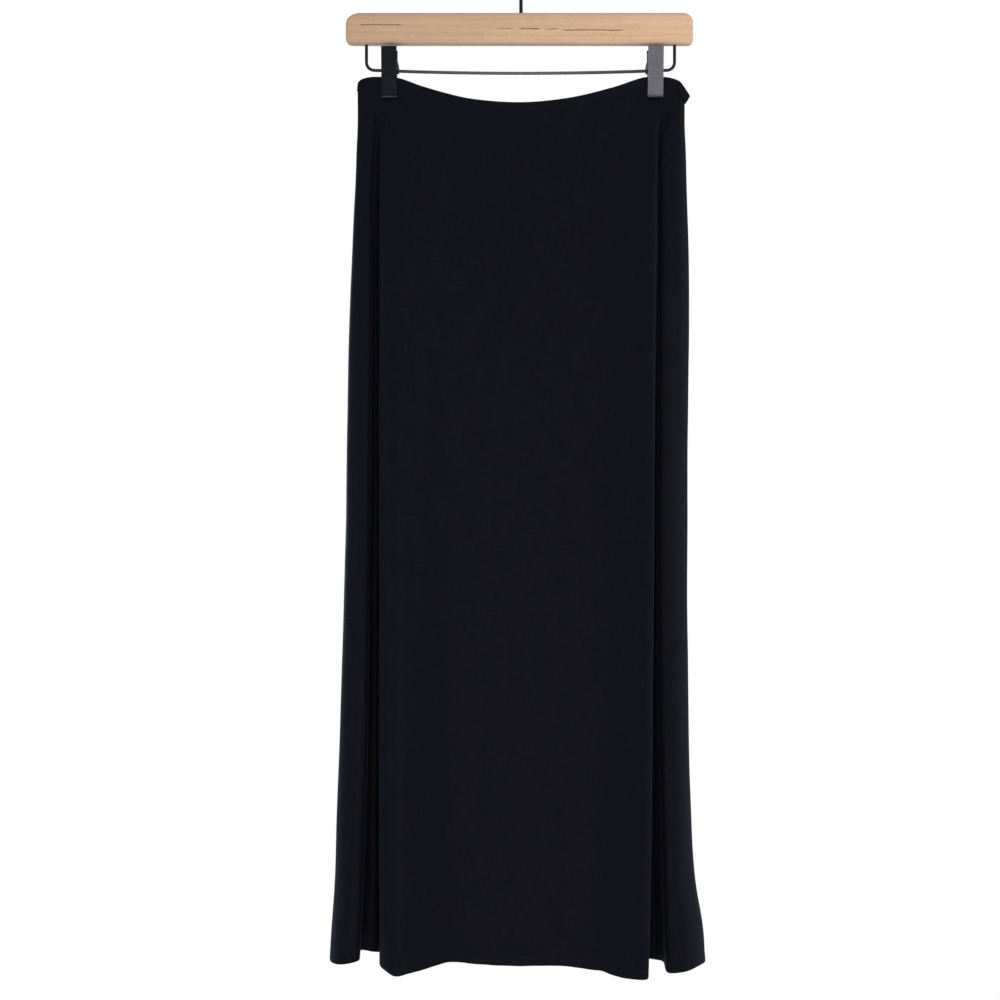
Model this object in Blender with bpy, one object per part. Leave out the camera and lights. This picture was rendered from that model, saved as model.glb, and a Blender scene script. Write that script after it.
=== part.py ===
# A pull-on maxi skirt in slinky knit, hung by two clips from a wooden hanger.
# Metres. +Z is up, the skirt's front faces -Y, and +X is to the viewer's right.
# The origin is the inside top of the hook, where a rail carries the hanger.

import math

import bmesh
import bpy
import numpy as np
from mathutils import Matrix, Vector

MM = 0.001

# Cloth
CLOTH_WALL = 0.0012
BAND_WALL = 0.0024
BAND_HEIGHT = 0.010
BAND_SIDE = ((1.0, 0.0), (1.0, 0.86), (0.5, 1.0))  # shares of its half wall and its height
HEM_TURN = 0.012
HEM_EXTRA = 0.0009
HEM_STEP = 0.0005
PANEL_LENGTH = 0.893
CORNERING = 0.6
SEAM_GAP = 0.0003
SHARP_BEND = 50  # degrees between faces that are shaded as an edge

# Wooden bar
BAR_LEFT = -0.1773
BAR_RIGHT = 0.1762
BAR_TOP = -0.0925
BAR_BOTTOM = -0.1243
BAR_DEPTH = 0.012
BAR_ROUNDING = 0.003
BAR_ROUNDING_STEPS = 3
BAR_CORNER_STEPS = 6
BAR_CORNERS = {
    "bottom_left": (0.006, 0.006),
    "bottom_right": (0.005, 0.005),
    "top_right": (0.010, 0.010),
    "top_left": (0.015, 0.011),
}

# Hook and trouser wire
SEAT = 0.0003
HOOK_WIRE = 0.0036
HOOK_INNER_RADIUS = 0.020
HOOK_NECK_X = 0.001
HOOK_NECK_TOP = -0.062
HOOK_TIP_ANGLE = 202
HOOK_TIP = ((28, 0.88), (56, 0.56), (84, 0.15))  # degrees round the tip, and its thickness there
HOOK_NECK_SHARES = (0.0, 0.35, 0.7)
HOOK_SWEEP_STEPS = 9
HOOK_ARC_STEP = 10
TROUSER_WIRE = 0.0032
WIRE_LEFT = -0.1566
WIRE_RIGHT = 0.1576
WIRE_MIDDLE_Z = -0.153
WIRE_END_Z = -0.1496
WIRE_BEND = 0.008
WIRE_BEND_STEP = 18
WIRE_SPANS = 12
WIRE_RINGS = 3

# Clips
CLIP_LEFT_X = -0.1332
CLIP_RIGHT_X = 0.1379
CLIP_WIDTH = 0.0158
CLIP_PLATE = 0.0009
CLIP_PIVOT_Z = -0.1505
EAR_FLARE = math.radians(17)
EAR_HINGE = 0.0048
BARREL_RADIUS = 0.0035
BARREL_HOLLOW = 0.0020
EAR_HOLE = 0.0021
ROUND_SIDES = 16
METAL_SHARP = 30

# The front plate seen from its side: how far its middle stands from the clip's centre, at each height.
PLATE_ROWS = (
    # depth, z, both in mm
    (8.5, -127.6),
    (7.1, -139.6),
    (5.8, -150.8),
    (4.4, -162.8),
    (3.0, -174.9),
    (3.0, -176.3),
    (3.3, -177.6),
    (4.2, -179.3),
)

# An ear of a plate, going round it: how far towards its own plate, and how high above the wire.
EAR_ROWS = (
    # depth, rise, both in mm
    (7.0, 11.5),
    (2.6, 10.0),
    (-1.7, 4.8),
    (-2.9, 1.0),
    (-2.3, -2.4),
    (1.0, -4.2),
    (5.3, -4.6),
)

# How the outline and the folds move inwards and outwards from the clips down to the hem.
# Each row is a height. left and right are the skirt's sides. The left valley lies between
# lobe_left and panel_left, and the right one between panel_right and lobe_right.
# depth is the share of the folds' depth at the hem, and gather the share of their place there.
HEIGHTS = (
    # z, left, lobe_left, panel_left, panel_right, lobe_right, right (mm), depth, gather
    (-157, -165.2, -146.0, -142.4, 142.2, 146.2, 167.2, 0.00, 0.00),
    (-180, -165.3, -146.0, -142.4, 142.2, 146.2, 167.4, 0.00, 0.00),
    (-200, -165.4, -147.0, -142.4, 141.8, 145.8, 166.4, 0.08, 0.45),
    (-226, -166.0, -149.6, -142.3, 141.2, 144.4, 167.6, 0.17, 0.90),
    (-262, -167.6, -151.4, -142.2, 140.3, 143.9, 169.0, 0.26, 1.00),
    (-330, -170.6, -152.2, -142.2, 139.8, 143.4, 170.8, 0.37, 1.00),
    (-420, -174.2, -153.0, -142.0, 138.8, 142.8, 171.2, 0.46, 1.00),
    (-540, -176.2, -154.2, -142.0, 137.6, 142.2, 170.2, 0.56, 1.00),
    (-680, -179.2, -156.2, -141.8, 136.2, 142.2, 170.0, 0.67, 1.00),
    (-800, -183.0, -158.0, -141.6, 134.6, 143.6, 171.4, 0.77, 1.00),
    (-900, -187.2, -160.4, -141.4, 132.8, 145.8, 173.8, 0.86, 1.00),
    (-980, -189.8, -162.6, -141.2, 131.0, 147.0, 179.4, 0.93, 1.00),
    (-1030, -193.4, -163.4, -141.0, 129.6, 147.2, 186.6, 0.98, 1.00),
    (-1062, -195.2, -164.0, -141.0, 128.8, 147.4, 189.0, 1.00, 1.00),
)
LEFT, LOBE_LEFT, PANEL_LEFT, PANEL_RIGHT, LOBE_RIGHT, RIGHT, DEPTH, GATHER = range(8)

# One row for each fold or bend of the cloth, going round from the left seam over the front.
# waist_* is its place on the seam between casing and panel. lean is how far the casing's top
# edge stands to the right of that. Below the clips it lies the given share of the way between
# two lines of HEIGHTS. steps is the number of mesh columns from here to the next row.
FRONT_FOLDS = (
    # name, waist_x, waist_y, waist_z, lean, from, to, share, hem_y, hem_z, steps
    ("seam_left", -165.2, 0.0, -171.8, 1.0, LEFT, LOBE_LEFT, 0.00, 24, -1061.0, 3),
    ("lobe_left_shoulder", -162.0, -2.7, -169.9, 0.6, LEFT, LOBE_LEFT, 0.16, -2, -1060.2, 3),
    ("lobe_left_crest", -156.5, -2.9, -168.3, 0.0, LEFT, LOBE_LEFT, 0.55, -15, -1056.4, 2),
    ("lobe_left_edge", -151.8, -2.5, -167.4, 0.0, LEFT, LOBE_LEFT, 0.97, -13, -1053.8, 2),
    ("valley_left_outer", -148.8, -2.1, -167.1, 0.0, LOBE_LEFT, PANEL_LEFT, 0.10, 5, -1051.4, 2),
    ("valley_left_floor", -145.6, -1.8, -167.0, 0.0, LOBE_LEFT, PANEL_LEFT, 0.50, 24, -1053.8, 2),
    ("valley_left_inner", -142.6, -1.6, -167.0, 0.0, LOBE_LEFT, PANEL_LEFT, 0.95, 10, -1053.6, 2),
    ("flute_left_edge", -139.0, -1.6, -167.0, 0.0, PANEL_LEFT, PANEL_RIGHT, 0.000, -20, -1057.6, 3),
    ("flute_left_crest", -131.0, -1.6, -167.0, 0.0, PANEL_LEFT, PANEL_RIGHT, 0.058, -37, -1061.4, 2),
    ("flute_left_foot", -122.5, -1.7, -168.4, 0.0, PANEL_LEFT, PANEL_RIGHT, 0.140, -30, -1058.0, 2),
    ("panel_left", -98.0, -3.4, -177.4, 0.0, PANEL_LEFT, PANEL_RIGHT, 0.245, -12, -1054.8, 2),
    ("panel_left_middle", -54.0, -6.6, -191.4, 0.0, PANEL_LEFT, PANEL_RIGHT, 0.380, -5, -1059.0, 2),
    ("panel_middle", 0.0, -8.0, -195.2, 0.0, PANEL_LEFT, PANEL_RIGHT, 0.520, -4, -1061.2, 2),
    ("panel_right_middle", 50.0, -6.8, -189.4, 0.0, PANEL_LEFT, PANEL_RIGHT, 0.685, -5, -1061.2, 2),
    ("panel_right", 95.0, -3.6, -177.6, 0.0, PANEL_LEFT, PANEL_RIGHT, 0.825, -13, -1064.6, 2),
    ("flute_right_foot", 126.0, -1.7, -168.7, 0.0, PANEL_LEFT, PANEL_RIGHT, 0.915, -30, -1066.2, 2),
    ("flute_right_crest", 135.0, -1.6, -167.0, 0.0, PANEL_LEFT, PANEL_RIGHT, 0.968, -41, -1063.8, 3),
    ("flute_right_edge", 143.4, -1.6, -167.0, 0.0, PANEL_LEFT, PANEL_RIGHT, 1.000, -25, -1060.0, 2),
    ("valley_right_inner", 147.0, -1.8, -167.1, 0.0, PANEL_RIGHT, LOBE_RIGHT, 0.08, 3, -1057.6, 2),
    ("valley_right_floor", 150.0, -2.1, -167.5, 0.2, PANEL_RIGHT, LOBE_RIGHT, 0.50, 14, -1059.6, 2),
    ("valley_right_outer", 153.0, -2.4, -168.3, 0.5, PANEL_RIGHT, LOBE_RIGHT, 0.90, 3, -1058.8, 2),
    ("lobe_right_edge", 156.2, -2.7, -169.4, 1.0, LOBE_RIGHT, RIGHT, 0.04, -19, -1064.0, 2),
    ("lobe_right_crest", 160.2, -2.9, -172.8, 2.4, LOBE_RIGHT, RIGHT, 0.34, -21, -1062.4, 3),
    ("lobe_right_shoulder", 164.2, -3.1, -180.4, 4.2, LOBE_RIGHT, RIGHT, 0.80, -9, -1060.2, 3),
)
BACK_FOLDS = (
    # name, waist_x, waist_y, waist_z, lean, from, to, share, hem_y, hem_z, steps
    ("seam_right", 167.6, 0.0, -184.0, 5.2, LOBE_RIGHT, RIGHT, 1.00, 12, -1060.8, 3),
    ("back_shoulder_right", 164.2, 3.1, -180.4, 4.2, LEFT, RIGHT, 0.965, 33, -1058.4, 3),
    ("back_lobe_right", 157.5, 2.9, -171.0, 1.2, LEFT, RIGHT, 0.905, 46, -1056.4, 3),
    ("back_valley_right", 147.5, 1.9, -167.2, 0.0, LEFT, RIGHT, 0.850, 31, -1055.0, 3),
    ("back_flute_right", 136.0, 1.6, -167.0, 0.0, LEFT, RIGHT, 0.790, 50, -1056.4, 3),
    ("back_foot_right", 122.0, 1.8, -169.8, 0.0, LEFT, RIGHT, 0.715, 31, -1055.0, 2),
    ("back_fold_right", 94.0, 3.6, -178.0, 0.0, LEFT, RIGHT, 0.630, 45, -1056.0, 2),
    ("back_hollow_right", 50.0, 6.2, -189.8, 0.0, LEFT, RIGHT, 0.550, 25, -1054.6, 2),
    ("back_middle", 0.0, 7.2, -195.6, 0.0, LEFT, RIGHT, 0.485, 36, -1055.6, 2),
    ("back_hollow_left", -50.0, 6.2, -192.0, 0.0, LEFT, RIGHT, 0.420, 25, -1054.4, 2),
    ("back_fold_left", -92.0, 3.6, -179.8, 0.0, LEFT, RIGHT, 0.345, 46, -1056.0, 2),
    ("back_foot_left", -119.0, 1.8, -170.0, 0.0, LEFT, RIGHT, 0.265, 31, -1054.6, 3),
    ("back_flute_left", -131.0, 1.6, -167.0, 0.0, LEFT, RIGHT, 0.195, 52, -1055.6, 3),
    ("back_valley_left", -143.0, 1.6, -167.0, 0.0, LEFT, RIGHT, 0.140, 38, -1054.0, 3),
    ("back_lobe_left", -153.5, 2.7, -167.6, 0.0, LEFT, RIGHT, 0.085, 50, -1055.6, 3),
    ("back_shoulder_left", -162.0, 2.7, -169.9, 0.6, LEFT, RIGHT, 0.030, 42, -1058.4, 3),
)

# Where the rows of the mesh lie, as shares of the way from casing to hem.
ROWS = (
    0.0, 0.013, 0.028, 0.045, 0.065, 0.09, 0.12, 0.16, 0.21, 0.28, 0.36,
    0.45, 0.54, 0.63, 0.72, 0.80, 0.87, 0.925, 0.96,
)

COLOURS = {
    # name: (red, green, blue, alpha), roughness, metallic
    "knit": ((0.0075, 0.0078, 0.0105, 1.0), 0.75, 0.0),
    "casing": ((0.0085, 0.0088, 0.0115, 1.0), 0.75, 0.0),
    "wood": ((0.62, 0.42, 0.28, 1.0), 0.55, 0.0),
    "black_wire": ((0.012, 0.011, 0.013, 1.0), 0.35, 0.6),
    "black_nickel": ((0.12, 0.12, 0.13, 1.0), 0.35, 0.9),
    "spring_steel": ((0.25, 0.25, 0.26, 1.0), 0.30, 1.0),
}


def clear_scene():
    for old in list(bpy.data.objects):
        bpy.data.objects.remove(old, do_unlink=True)


def material(name):
    """A Principled material from the COLOURS table, made once."""
    found = bpy.data.materials.get(name)
    if found:
        return found
    colour, roughness, metallic = COLOURS[name]
    made = bpy.data.materials.new(name)
    made.use_nodes = True
    shader = made.node_tree.nodes["Principled BSDF"]
    shader.inputs["Base Color"].default_value = colour
    shader.inputs["Roughness"].default_value = roughness
    shader.inputs["Metallic"].default_value = metallic
    return made


def show(name, mesh, finish, sharp_degrees=SHARP_BEND):
    """Puts a mesh in the scene as one named sub-part, shaded smooth."""
    made = bpy.data.objects.new(name, mesh)
    bpy.context.scene.collection.objects.link(made)
    mesh.materials.clear()
    mesh.materials.append(material(finish))
    mesh.shade_smooth()
    mesh.set_sharp_from_angle(angle=math.radians(sharp_degrees))
    return made


def slopes(keys, values):
    """The slope at each key, from the keys on either side of it."""
    step = np.diff(keys)[:, None]
    rise = np.diff(values, axis=0) / step
    inner = (rise[:-1] * step[1:] + rise[1:] * step[:-1]) / (step[:-1] + step[1:])
    return np.vstack([rise[:1], inner, rise[-1:]])


def smooth_between(keys, values, at):
    """A smooth curve through values (one row a key), read at the given keys."""
    keys = np.asarray(keys, float)
    values = np.asarray(values, float)
    at = np.clip(at, keys[0], keys[-1])
    tangent = slopes(keys, values)
    low = np.clip(np.searchsorted(keys, at, side="right") - 1, 0, len(keys) - 2)
    width = (keys[low + 1] - keys[low])[:, None]
    t = (at - keys[low])[:, None] / width
    near = (1 + 2 * t) * (1 - t) ** 2 * values[low] + t * (1 - t) ** 2 * width * tangent[low]
    far = t * t * (3 - 2 * t) * values[low + 1] + t * t * (t - 1) * width * tangent[low + 1]
    return near + far


def lines_at(z):
    """The HEIGHTS columns at each z: six lines in X, then depth and gather."""
    table = np.array(HEIGHTS, float)[::-1]
    return smooth_between(table[:, 0] * MM, table[:, 1:], np.asarray(z, float))


def station(fold, share_down):
    """Where one fold lies, at each share of the way down from the casing to the hem."""
    name, waist_x, waist_y, waist_z, lean, first, second, share, hem_y, hem_z, steps = fold
    z = (waist_z + (hem_z - waist_z) * share_down) * MM
    lines = lines_at(z)
    folded_x = lines[:, first] + (lines[:, second] - lines[:, first]) * share
    x = (waist_x + (folded_x - waist_x) * lines[:, GATHER]) * MM
    y = (waist_y + (hem_y - waist_y) * lines[:, DEPTH]) * MM
    return np.stack([x, y, z], axis=1)


def loop_through(points, steps):
    """A smooth closed loop through one row of stations, with steps points for each of them."""
    count = len(points)
    wrapped = np.vstack([points[-3:], points, points[:4]])
    chord = np.linalg.norm(np.diff(wrapped, axis=0), axis=1)
    key = np.concatenate([[0.0], np.cumsum(chord ** CORNERING)])
    at = []
    for i in range(count):
        first, last = key[i + 3], key[i + 4]
        at.extend(first + (last - first) * k / steps[i] for k in range(steps[i]))
    return smooth_between(key, wrapped, np.array(at))


def outward(grid):
    """The unit normal at each point of a closed grid whose rows run round the skirt."""
    round_it = np.roll(grid, -1, axis=1) - np.roll(grid, 1, axis=1)
    down = np.gradient(grid, axis=0)
    normal = np.cross(down, round_it)
    return normal / np.linalg.norm(normal, axis=2, keepdims=True)


def tidy(bm, name):
    """Turns a bmesh into a mesh whose faces point outwards."""
    bmesh.ops.recalc_face_normals(bm, faces=bm.faces)
    mesh = bpy.data.meshes.new(name)
    bm.to_mesh(mesh)
    bm.free()
    return mesh


def sheet_mesh(name, outer, inner):
    """A closed wall between two grids of points of the same size."""
    rows, columns = outer.shape[:2]
    bm = bmesh.new()
    sides = []
    for grid in (outer, inner):
        sides.append([[bm.verts.new(point) for point in row] for row in grid])
    out, back = sides
    for r in range(rows - 1):
        for c in range(columns - 1):
            bm.faces.new((out[r][c], out[r + 1][c], out[r + 1][c + 1], out[r][c + 1]))
            bm.faces.new((back[r][c], back[r][c + 1], back[r + 1][c + 1], back[r + 1][c]))
    for r in range(rows - 1):
        for c in (0, columns - 1):
            bm.faces.new((out[r][c], out[r + 1][c], back[r + 1][c], back[r][c]))
    for c in range(columns - 1):
        for r in (0, rows - 1):
            bm.faces.new((out[r][c], out[r][c + 1], back[r][c + 1], back[r][c]))
    return tidy(bm, name)


def ring_mesh(name, rings):
    """A closed body from rings of points that follow each other round the waist."""
    bm = bmesh.new()
    loops = [[bm.verts.new(point) for point in ring] for ring in rings]
    for ring, following in zip(loops, loops[1:] + loops[:1]):
        for k in range(len(ring)):
            nxt = (k + 1) % len(ring)
            bm.faces.new((ring[k], ring[nxt], following[nxt], following[k]))
    return tidy(bm, name)


def make_skirt():
    folds = FRONT_FOLDS + BACK_FOLDS
    steps = [fold[-1] for fold in folds]
    turn = 1 - HEM_TURN / PANEL_LENGTH
    rows = np.array(ROWS + (turn - HEM_STEP / PANEL_LENGTH, turn, 1.0))
    stations = np.stack([station(fold, rows) for fold in folds], axis=1)
    grid = np.stack([loop_through(row, steps) for row in stations])
    normal = outward(grid)
    normal[0] = make_waistband(folds, steps)
    along_seam = np.roll(grid[0], -1, axis=0) - np.roll(grid[0], 1, axis=0)
    from_seam = np.cross(along_seam, normal[0])
    grid[0] += from_seam / np.linalg.norm(from_seam, axis=1, keepdims=True) * SEAM_GAP
    turned = (rows >= turn)[:, None, None]
    outer = grid + normal * CLOTH_WALL / 2
    inner = grid - normal * (CLOTH_WALL / 2 + HEM_EXTRA * turned)
    front_columns = sum(steps[: len(FRONT_FOLDS)])
    columns = grid.shape[1]
    make_panel("skirt_front", outer, inner, np.arange(0, front_columns + 1))
    make_panel("skirt_back", outer, inner, np.arange(front_columns, columns + 1) % columns)


def make_panel(name, outer, inner, columns):
    """One panel of the skirt, held back from its neighbours at the seams."""
    walls = []
    for grid in (outer, inner):
        wall = grid[:, columns].copy()
        for end, beside in ((0, 1), (-1, -2)):
            along = wall[:, beside] - wall[:, end]
            along /= np.linalg.norm(along, axis=1, keepdims=True)
            wall[:, end] += along * SEAM_GAP / 2
        walls.append(wall)
    return show(name, sheet_mesh(name, *walls), "knit")


def make_waistband(folds, steps):
    """The elastic casing, folded at its top edge. Returns the cloth's normals along its seam."""
    low = np.stack([station(fold, np.array([0.0]))[0] for fold in folds])
    lean = np.array([fold[4] for fold in folds]) * MM
    rise = np.sqrt(BAND_HEIGHT ** 2 - lean ** 2)
    high = low + np.stack([lean, np.zeros_like(lean), rise], axis=1)
    seam = loop_through(low, steps)
    top = loop_through(high, steps)
    normal = outward(np.stack([top, seam]))[1]
    half = BAND_WALL / 2
    side = tuple((half * across, up) for across, up in BAND_SIDE)
    profile = side + tuple((-across, up) for across, up in reversed(side))
    rings = []
    for foot, crown, out in zip(seam, top, normal):
        rings.append([foot + (crown - foot) * up + out * across for across, up in profile])
    show("waistband", ring_mesh("waistband", rings), "casing")
    return normal


def corner_arc(centre, radii, start):
    """A quarter of an ellipse in XZ, turning left from the angle start in degrees."""
    points = []
    for k in range(BAR_CORNER_STEPS + 1):
        angle = math.radians(start + 90 * k / BAR_CORNER_STEPS)
        points.append((centre[0] + radii[0] * math.cos(angle), centre[1] + radii[1] * math.sin(angle)))
    return points


def make_bar():
    outline = []
    corners = (
        ("bottom_left", BAR_LEFT, 1, BAR_BOTTOM, 1, 180),
        ("bottom_right", BAR_RIGHT, -1, BAR_BOTTOM, 1, 270),
        ("top_right", BAR_RIGHT, -1, BAR_TOP, -1, 0),
        ("top_left", BAR_LEFT, 1, BAR_TOP, -1, 90),
    )
    for name, x, to_right, z, upwards, start in corners:
        radii = BAR_CORNERS[name]
        centre = (x + to_right * radii[0], z + upwards * radii[1])
        outline.extend(corner_arc(centre, radii, start))
    bm = bmesh.new()
    face = bm.faces.new([bm.verts.new((x, -BAR_DEPTH / 2, z)) for x, z in outline])
    grown = bmesh.ops.extrude_face_region(bm, geom=[face])
    moved = [item for item in grown["geom"] if isinstance(item, bmesh.types.BMVert)]
    bmesh.ops.translate(bm, verts=moved, vec=(0, BAR_DEPTH, 0))
    rims = [edge for edge in bm.edges if abs(edge.verts[0].co.y - edge.verts[1].co.y) < BAR_DEPTH / 2]
    bmesh.ops.bevel(
        bm, geom=rims, offset=BAR_ROUNDING, segments=BAR_ROUNDING_STEPS, profile=0.5, affect="EDGES"
    )
    return show("hanger_bar", tidy(bm, "hanger_bar"), "wood")


def wire(name, points, diameter, finish, taper=()):
    """A round wire along the given points. taper thins its last points to a rounded tip."""
    curve = bpy.data.curves.new(name, "CURVE")
    curve.dimensions = "3D"
    curve.bevel_depth = diameter / 2
    curve.bevel_resolution = WIRE_RINGS
    curve.use_fill_caps = True
    spline = curve.splines.new("POLY")
    spline.points.add(len(points) - 1)
    for point, place in zip(spline.points, points):
        point.co = (*place, 1.0)
    for point, share in zip(reversed(spline.points), reversed(taper)):
        point.radius = share
    made = bpy.data.objects.new(name, curve)
    bpy.context.scene.collection.objects.link(made)
    curve.materials.append(material(finish))
    for part in curve.splines:
        part.use_smooth = True
    return made


def arc_points(centre_x, centre_z, radius, start, end, step):
    """Points in XZ on an arc, from one angle in degrees to another."""
    count = max(2, round(abs(end - start) / step))
    points = []
    for k in range(count + 1):
        angle = math.radians(start + (end - start) * k / count)
        points.append((centre_x + radius * math.cos(angle), 0.0, centre_z + radius * math.sin(angle)))
    return points


def make_hook():
    radius = HOOK_INNER_RADIUS + HOOK_WIRE / 2
    centre_z = -HOOK_INNER_RADIUS
    foot = Vector((HOOK_NECK_X, 0, BAR_TOP + SEAT))
    bend = Vector((HOOK_NECK_X, 0, HOOK_NECK_TOP))
    side = Vector((radius, 0, centre_z))
    points = [tuple(foot.lerp(bend, share)) for share in HOOK_NECK_SHARES]
    pull = (side.z - bend.z) / 2 * Vector((0, 0, 1))
    for k in range(HOOK_SWEEP_STEPS):
        t = k / HOOK_SWEEP_STEPS
        near = bend * (1 - t) ** 3 + (bend + pull) * 3 * t * (1 - t) ** 2
        far = (side - pull) * 3 * t * t * (1 - t) + side * t ** 3
        points.append(tuple(near + far))
    points.extend(arc_points(0, centre_z, radius, 0, HOOK_TIP_ANGLE, HOOK_ARC_STEP))
    last = Vector(points[-1])
    ahead = (last - Vector(points[-2])).normalized()
    for degrees, thickness in HOOK_TIP:
        points.append(tuple(last + ahead * HOOK_WIRE / 2 * math.sin(math.radians(degrees))))
    taper = [thickness for degrees, thickness in HOOK_TIP]
    return wire("hanger_hook", points, HOOK_WIRE, "black_wire", taper)


def wire_height(x):
    """The trouser wire's middle, which sags a little between its two ends."""
    share = abs(x) / WIRE_RIGHT
    return WIRE_MIDDLE_Z + (WIRE_END_Z - WIRE_MIDDLE_Z) * share ** 2


def make_trouser_wire():
    top = BAR_BOTTOM - SEAT
    left = WIRE_LEFT + WIRE_BEND
    right = WIRE_RIGHT - WIRE_BEND
    left_z = wire_height(left)
    right_z = wire_height(right)
    points = [(WIRE_LEFT, 0.0, top), (WIRE_LEFT, 0.0, (top + left_z + WIRE_BEND) / 2)]
    points.extend(arc_points(left, left_z + WIRE_BEND, WIRE_BEND, 180, 270, WIRE_BEND_STEP))
    for k in range(1, WIRE_SPANS):
        x = left + (right - left) * k / WIRE_SPANS
        points.append((x, 0.0, wire_height(x)))
    points.extend(arc_points(right, right_z + WIRE_BEND, WIRE_BEND, -90, 0, WIRE_BEND_STEP))
    points.extend([(WIRE_RIGHT, 0.0, (top + right_z + WIRE_BEND) / 2), (WIRE_RIGHT, 0.0, top)])
    return wire("trouser_wire", points, TROUSER_WIRE, "black_wire")


def extruded(name, outline, low_x, high_x):
    """A closed prism along X over an outline in YZ."""
    bm = bmesh.new()
    ends = [[bm.verts.new((x, y, z)) for y, z in outline] for x in (low_x, high_x)]
    bm.faces.new(ends[0])
    bm.faces.new(ends[1][::-1])
    for k in range(len(outline)):
        nxt = (k + 1) % len(outline)
        bm.faces.new((ends[0][k], ends[1][k], ends[1][nxt], ends[0][nxt]))
    mesh = tidy(bm, name)
    made = bpy.data.objects.new(name, mesh)
    bpy.context.scene.collection.objects.link(made)
    return made


def plate_outline(facing):
    """The plate's section in YZ. facing is -1 for the front plate and 1 for the back one."""
    middle = [Vector((depth * facing * MM, z * MM)) for depth, z in PLATE_ROWS]
    sides = ([], [])
    for k, point in enumerate(middle):
        before = middle[max(k - 1, 0)]
        after = middle[min(k + 1, len(middle) - 1)]
        along = (after - before).normalized()
        across = Vector((along.y, -along.x)) * CLIP_PLATE / 2
        sides[0].append(point + across)
        sides[1].append(point - across)
    return [tuple(point) for point in sides[0] + sides[1][::-1]]


def ear_outline(facing):
    """An ear bent back from the plate round the wire, in YZ."""
    return [(depth * facing * MM, CLIP_PIVOT_Z + rise * MM) for depth, rise in EAR_ROWS]


def use_boolean(target, tool, operation):
    """Applies a Boolean to the target and removes the tool."""
    step = target.modifiers.new(operation.lower(), "BOOLEAN")
    step.operation = operation
    step.object = tool
    step.solver = "EXACT"
    bpy.context.view_layer.update()
    seen = target.evaluated_get(bpy.context.evaluated_depsgraph_get())
    result = bpy.data.meshes.new_from_object(seen)
    target.modifiers.remove(step)
    target.data = result
    bpy.data.objects.remove(tool, do_unlink=True)


def make_plate(name, clip_x, facing, ear_inset, flare):
    """One jaw of a clip with its two ears. flare opens the ear on the skirt's inner side."""
    half = CLIP_WIDTH / 2
    plate = extruded(name, plate_outline(facing), -half, half)
    for side in (-1, 1):
        outer = side * (half - ear_inset)
        inner = outer - side * CLIP_PLATE
        ear = extruded(name + "_ear", ear_outline(facing), min(outer, inner), max(outer, inner))
        if flare and side * clip_x < 0:
            hinge = Matrix.Translation((outer, EAR_HINGE * facing, 0))
            turn = Matrix.Rotation(side * facing * flare, 4, "Z")
            ear.data.transform(hinge @ turn @ hinge.inverted())
        use_boolean(plate, ear, "UNION")
    hole = cylinder_along_x(name + "_hole", EAR_HOLE, CLIP_WIDTH * 2)
    hole.location = (0, 0, wire_height(clip_x))
    use_boolean(plate, hole, "DIFFERENCE")
    mesh = plate.data
    mesh.transform(Matrix.Translation((clip_x, 0, 0)))
    bpy.data.objects.remove(plate, do_unlink=True)
    return show(name, mesh, "black_nickel", METAL_SHARP)


def cylinder_along_x(name, radius, length):
    bm = bmesh.new()
    bmesh.ops.create_cone(
        bm, cap_ends=True, segments=ROUND_SIDES, radius1=radius, radius2=radius, depth=length
    )
    bmesh.ops.rotate(bm, verts=bm.verts, matrix=Matrix.Rotation(math.radians(90), 3, "Y"))
    made = bpy.data.objects.new(name, tidy(bm, name))
    bpy.context.scene.collection.objects.link(made)
    return made


def make_barrel(name, clip_x):
    """The spring round the wire between the two plates, as a sleeve."""
    half = CLIP_WIDTH / 2 - 2 * CLIP_PLATE - 2 * SEAT
    middle_z = wire_height(clip_x)
    section = ((-half, BARREL_HOLLOW), (half, BARREL_HOLLOW), (half, BARREL_RADIUS), (-half, BARREL_RADIUS))
    rings = []
    for k in range(ROUND_SIDES):
        y = math.cos(2 * math.pi * k / ROUND_SIDES)
        z = math.sin(2 * math.pi * k / ROUND_SIDES)
        rings.append([(clip_x + x, y * radius, middle_z + z * radius) for x, radius in section])
    return show(name, ring_mesh(name, rings), "spring_steel", METAL_SHARP)


def make_clip(side, clip_x):
    make_plate("clip_%s_front" % side, clip_x, -1, 0.0, EAR_FLARE)
    make_plate("clip_%s_back" % side, clip_x, 1, CLIP_PLATE + SEAT, 0.0)
    make_barrel("clip_%s_spring" % side, clip_x)


def main():
    clear_scene()
    make_skirt()
    make_bar()
    make_hook()
    make_trouser_wire()
    make_clip("left", CLIP_LEFT_X)
    make_clip("right", CLIP_RIGHT_X)


main()
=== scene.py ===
import math

import bmesh
import bpy
import numpy as np
from mathutils import Euler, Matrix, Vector


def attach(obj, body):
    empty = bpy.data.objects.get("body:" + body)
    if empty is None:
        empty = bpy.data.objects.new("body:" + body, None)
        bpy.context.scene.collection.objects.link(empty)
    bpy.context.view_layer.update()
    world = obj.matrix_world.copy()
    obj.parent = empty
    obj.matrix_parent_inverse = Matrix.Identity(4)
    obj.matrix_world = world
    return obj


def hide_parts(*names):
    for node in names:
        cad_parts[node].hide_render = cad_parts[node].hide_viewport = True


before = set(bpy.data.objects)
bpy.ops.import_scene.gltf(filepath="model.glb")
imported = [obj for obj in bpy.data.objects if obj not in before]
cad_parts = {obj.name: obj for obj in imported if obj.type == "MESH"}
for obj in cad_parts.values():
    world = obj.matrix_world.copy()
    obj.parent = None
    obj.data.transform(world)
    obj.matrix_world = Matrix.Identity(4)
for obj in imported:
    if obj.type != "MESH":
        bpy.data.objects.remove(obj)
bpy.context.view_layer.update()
print("frame loaded,", len(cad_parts), "nodes")

mm = 0.001


# Helpers for node trees, materials and pieces

def assign(target, **values):
    for name, value in values.items():
        setattr(target, name, value)


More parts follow.
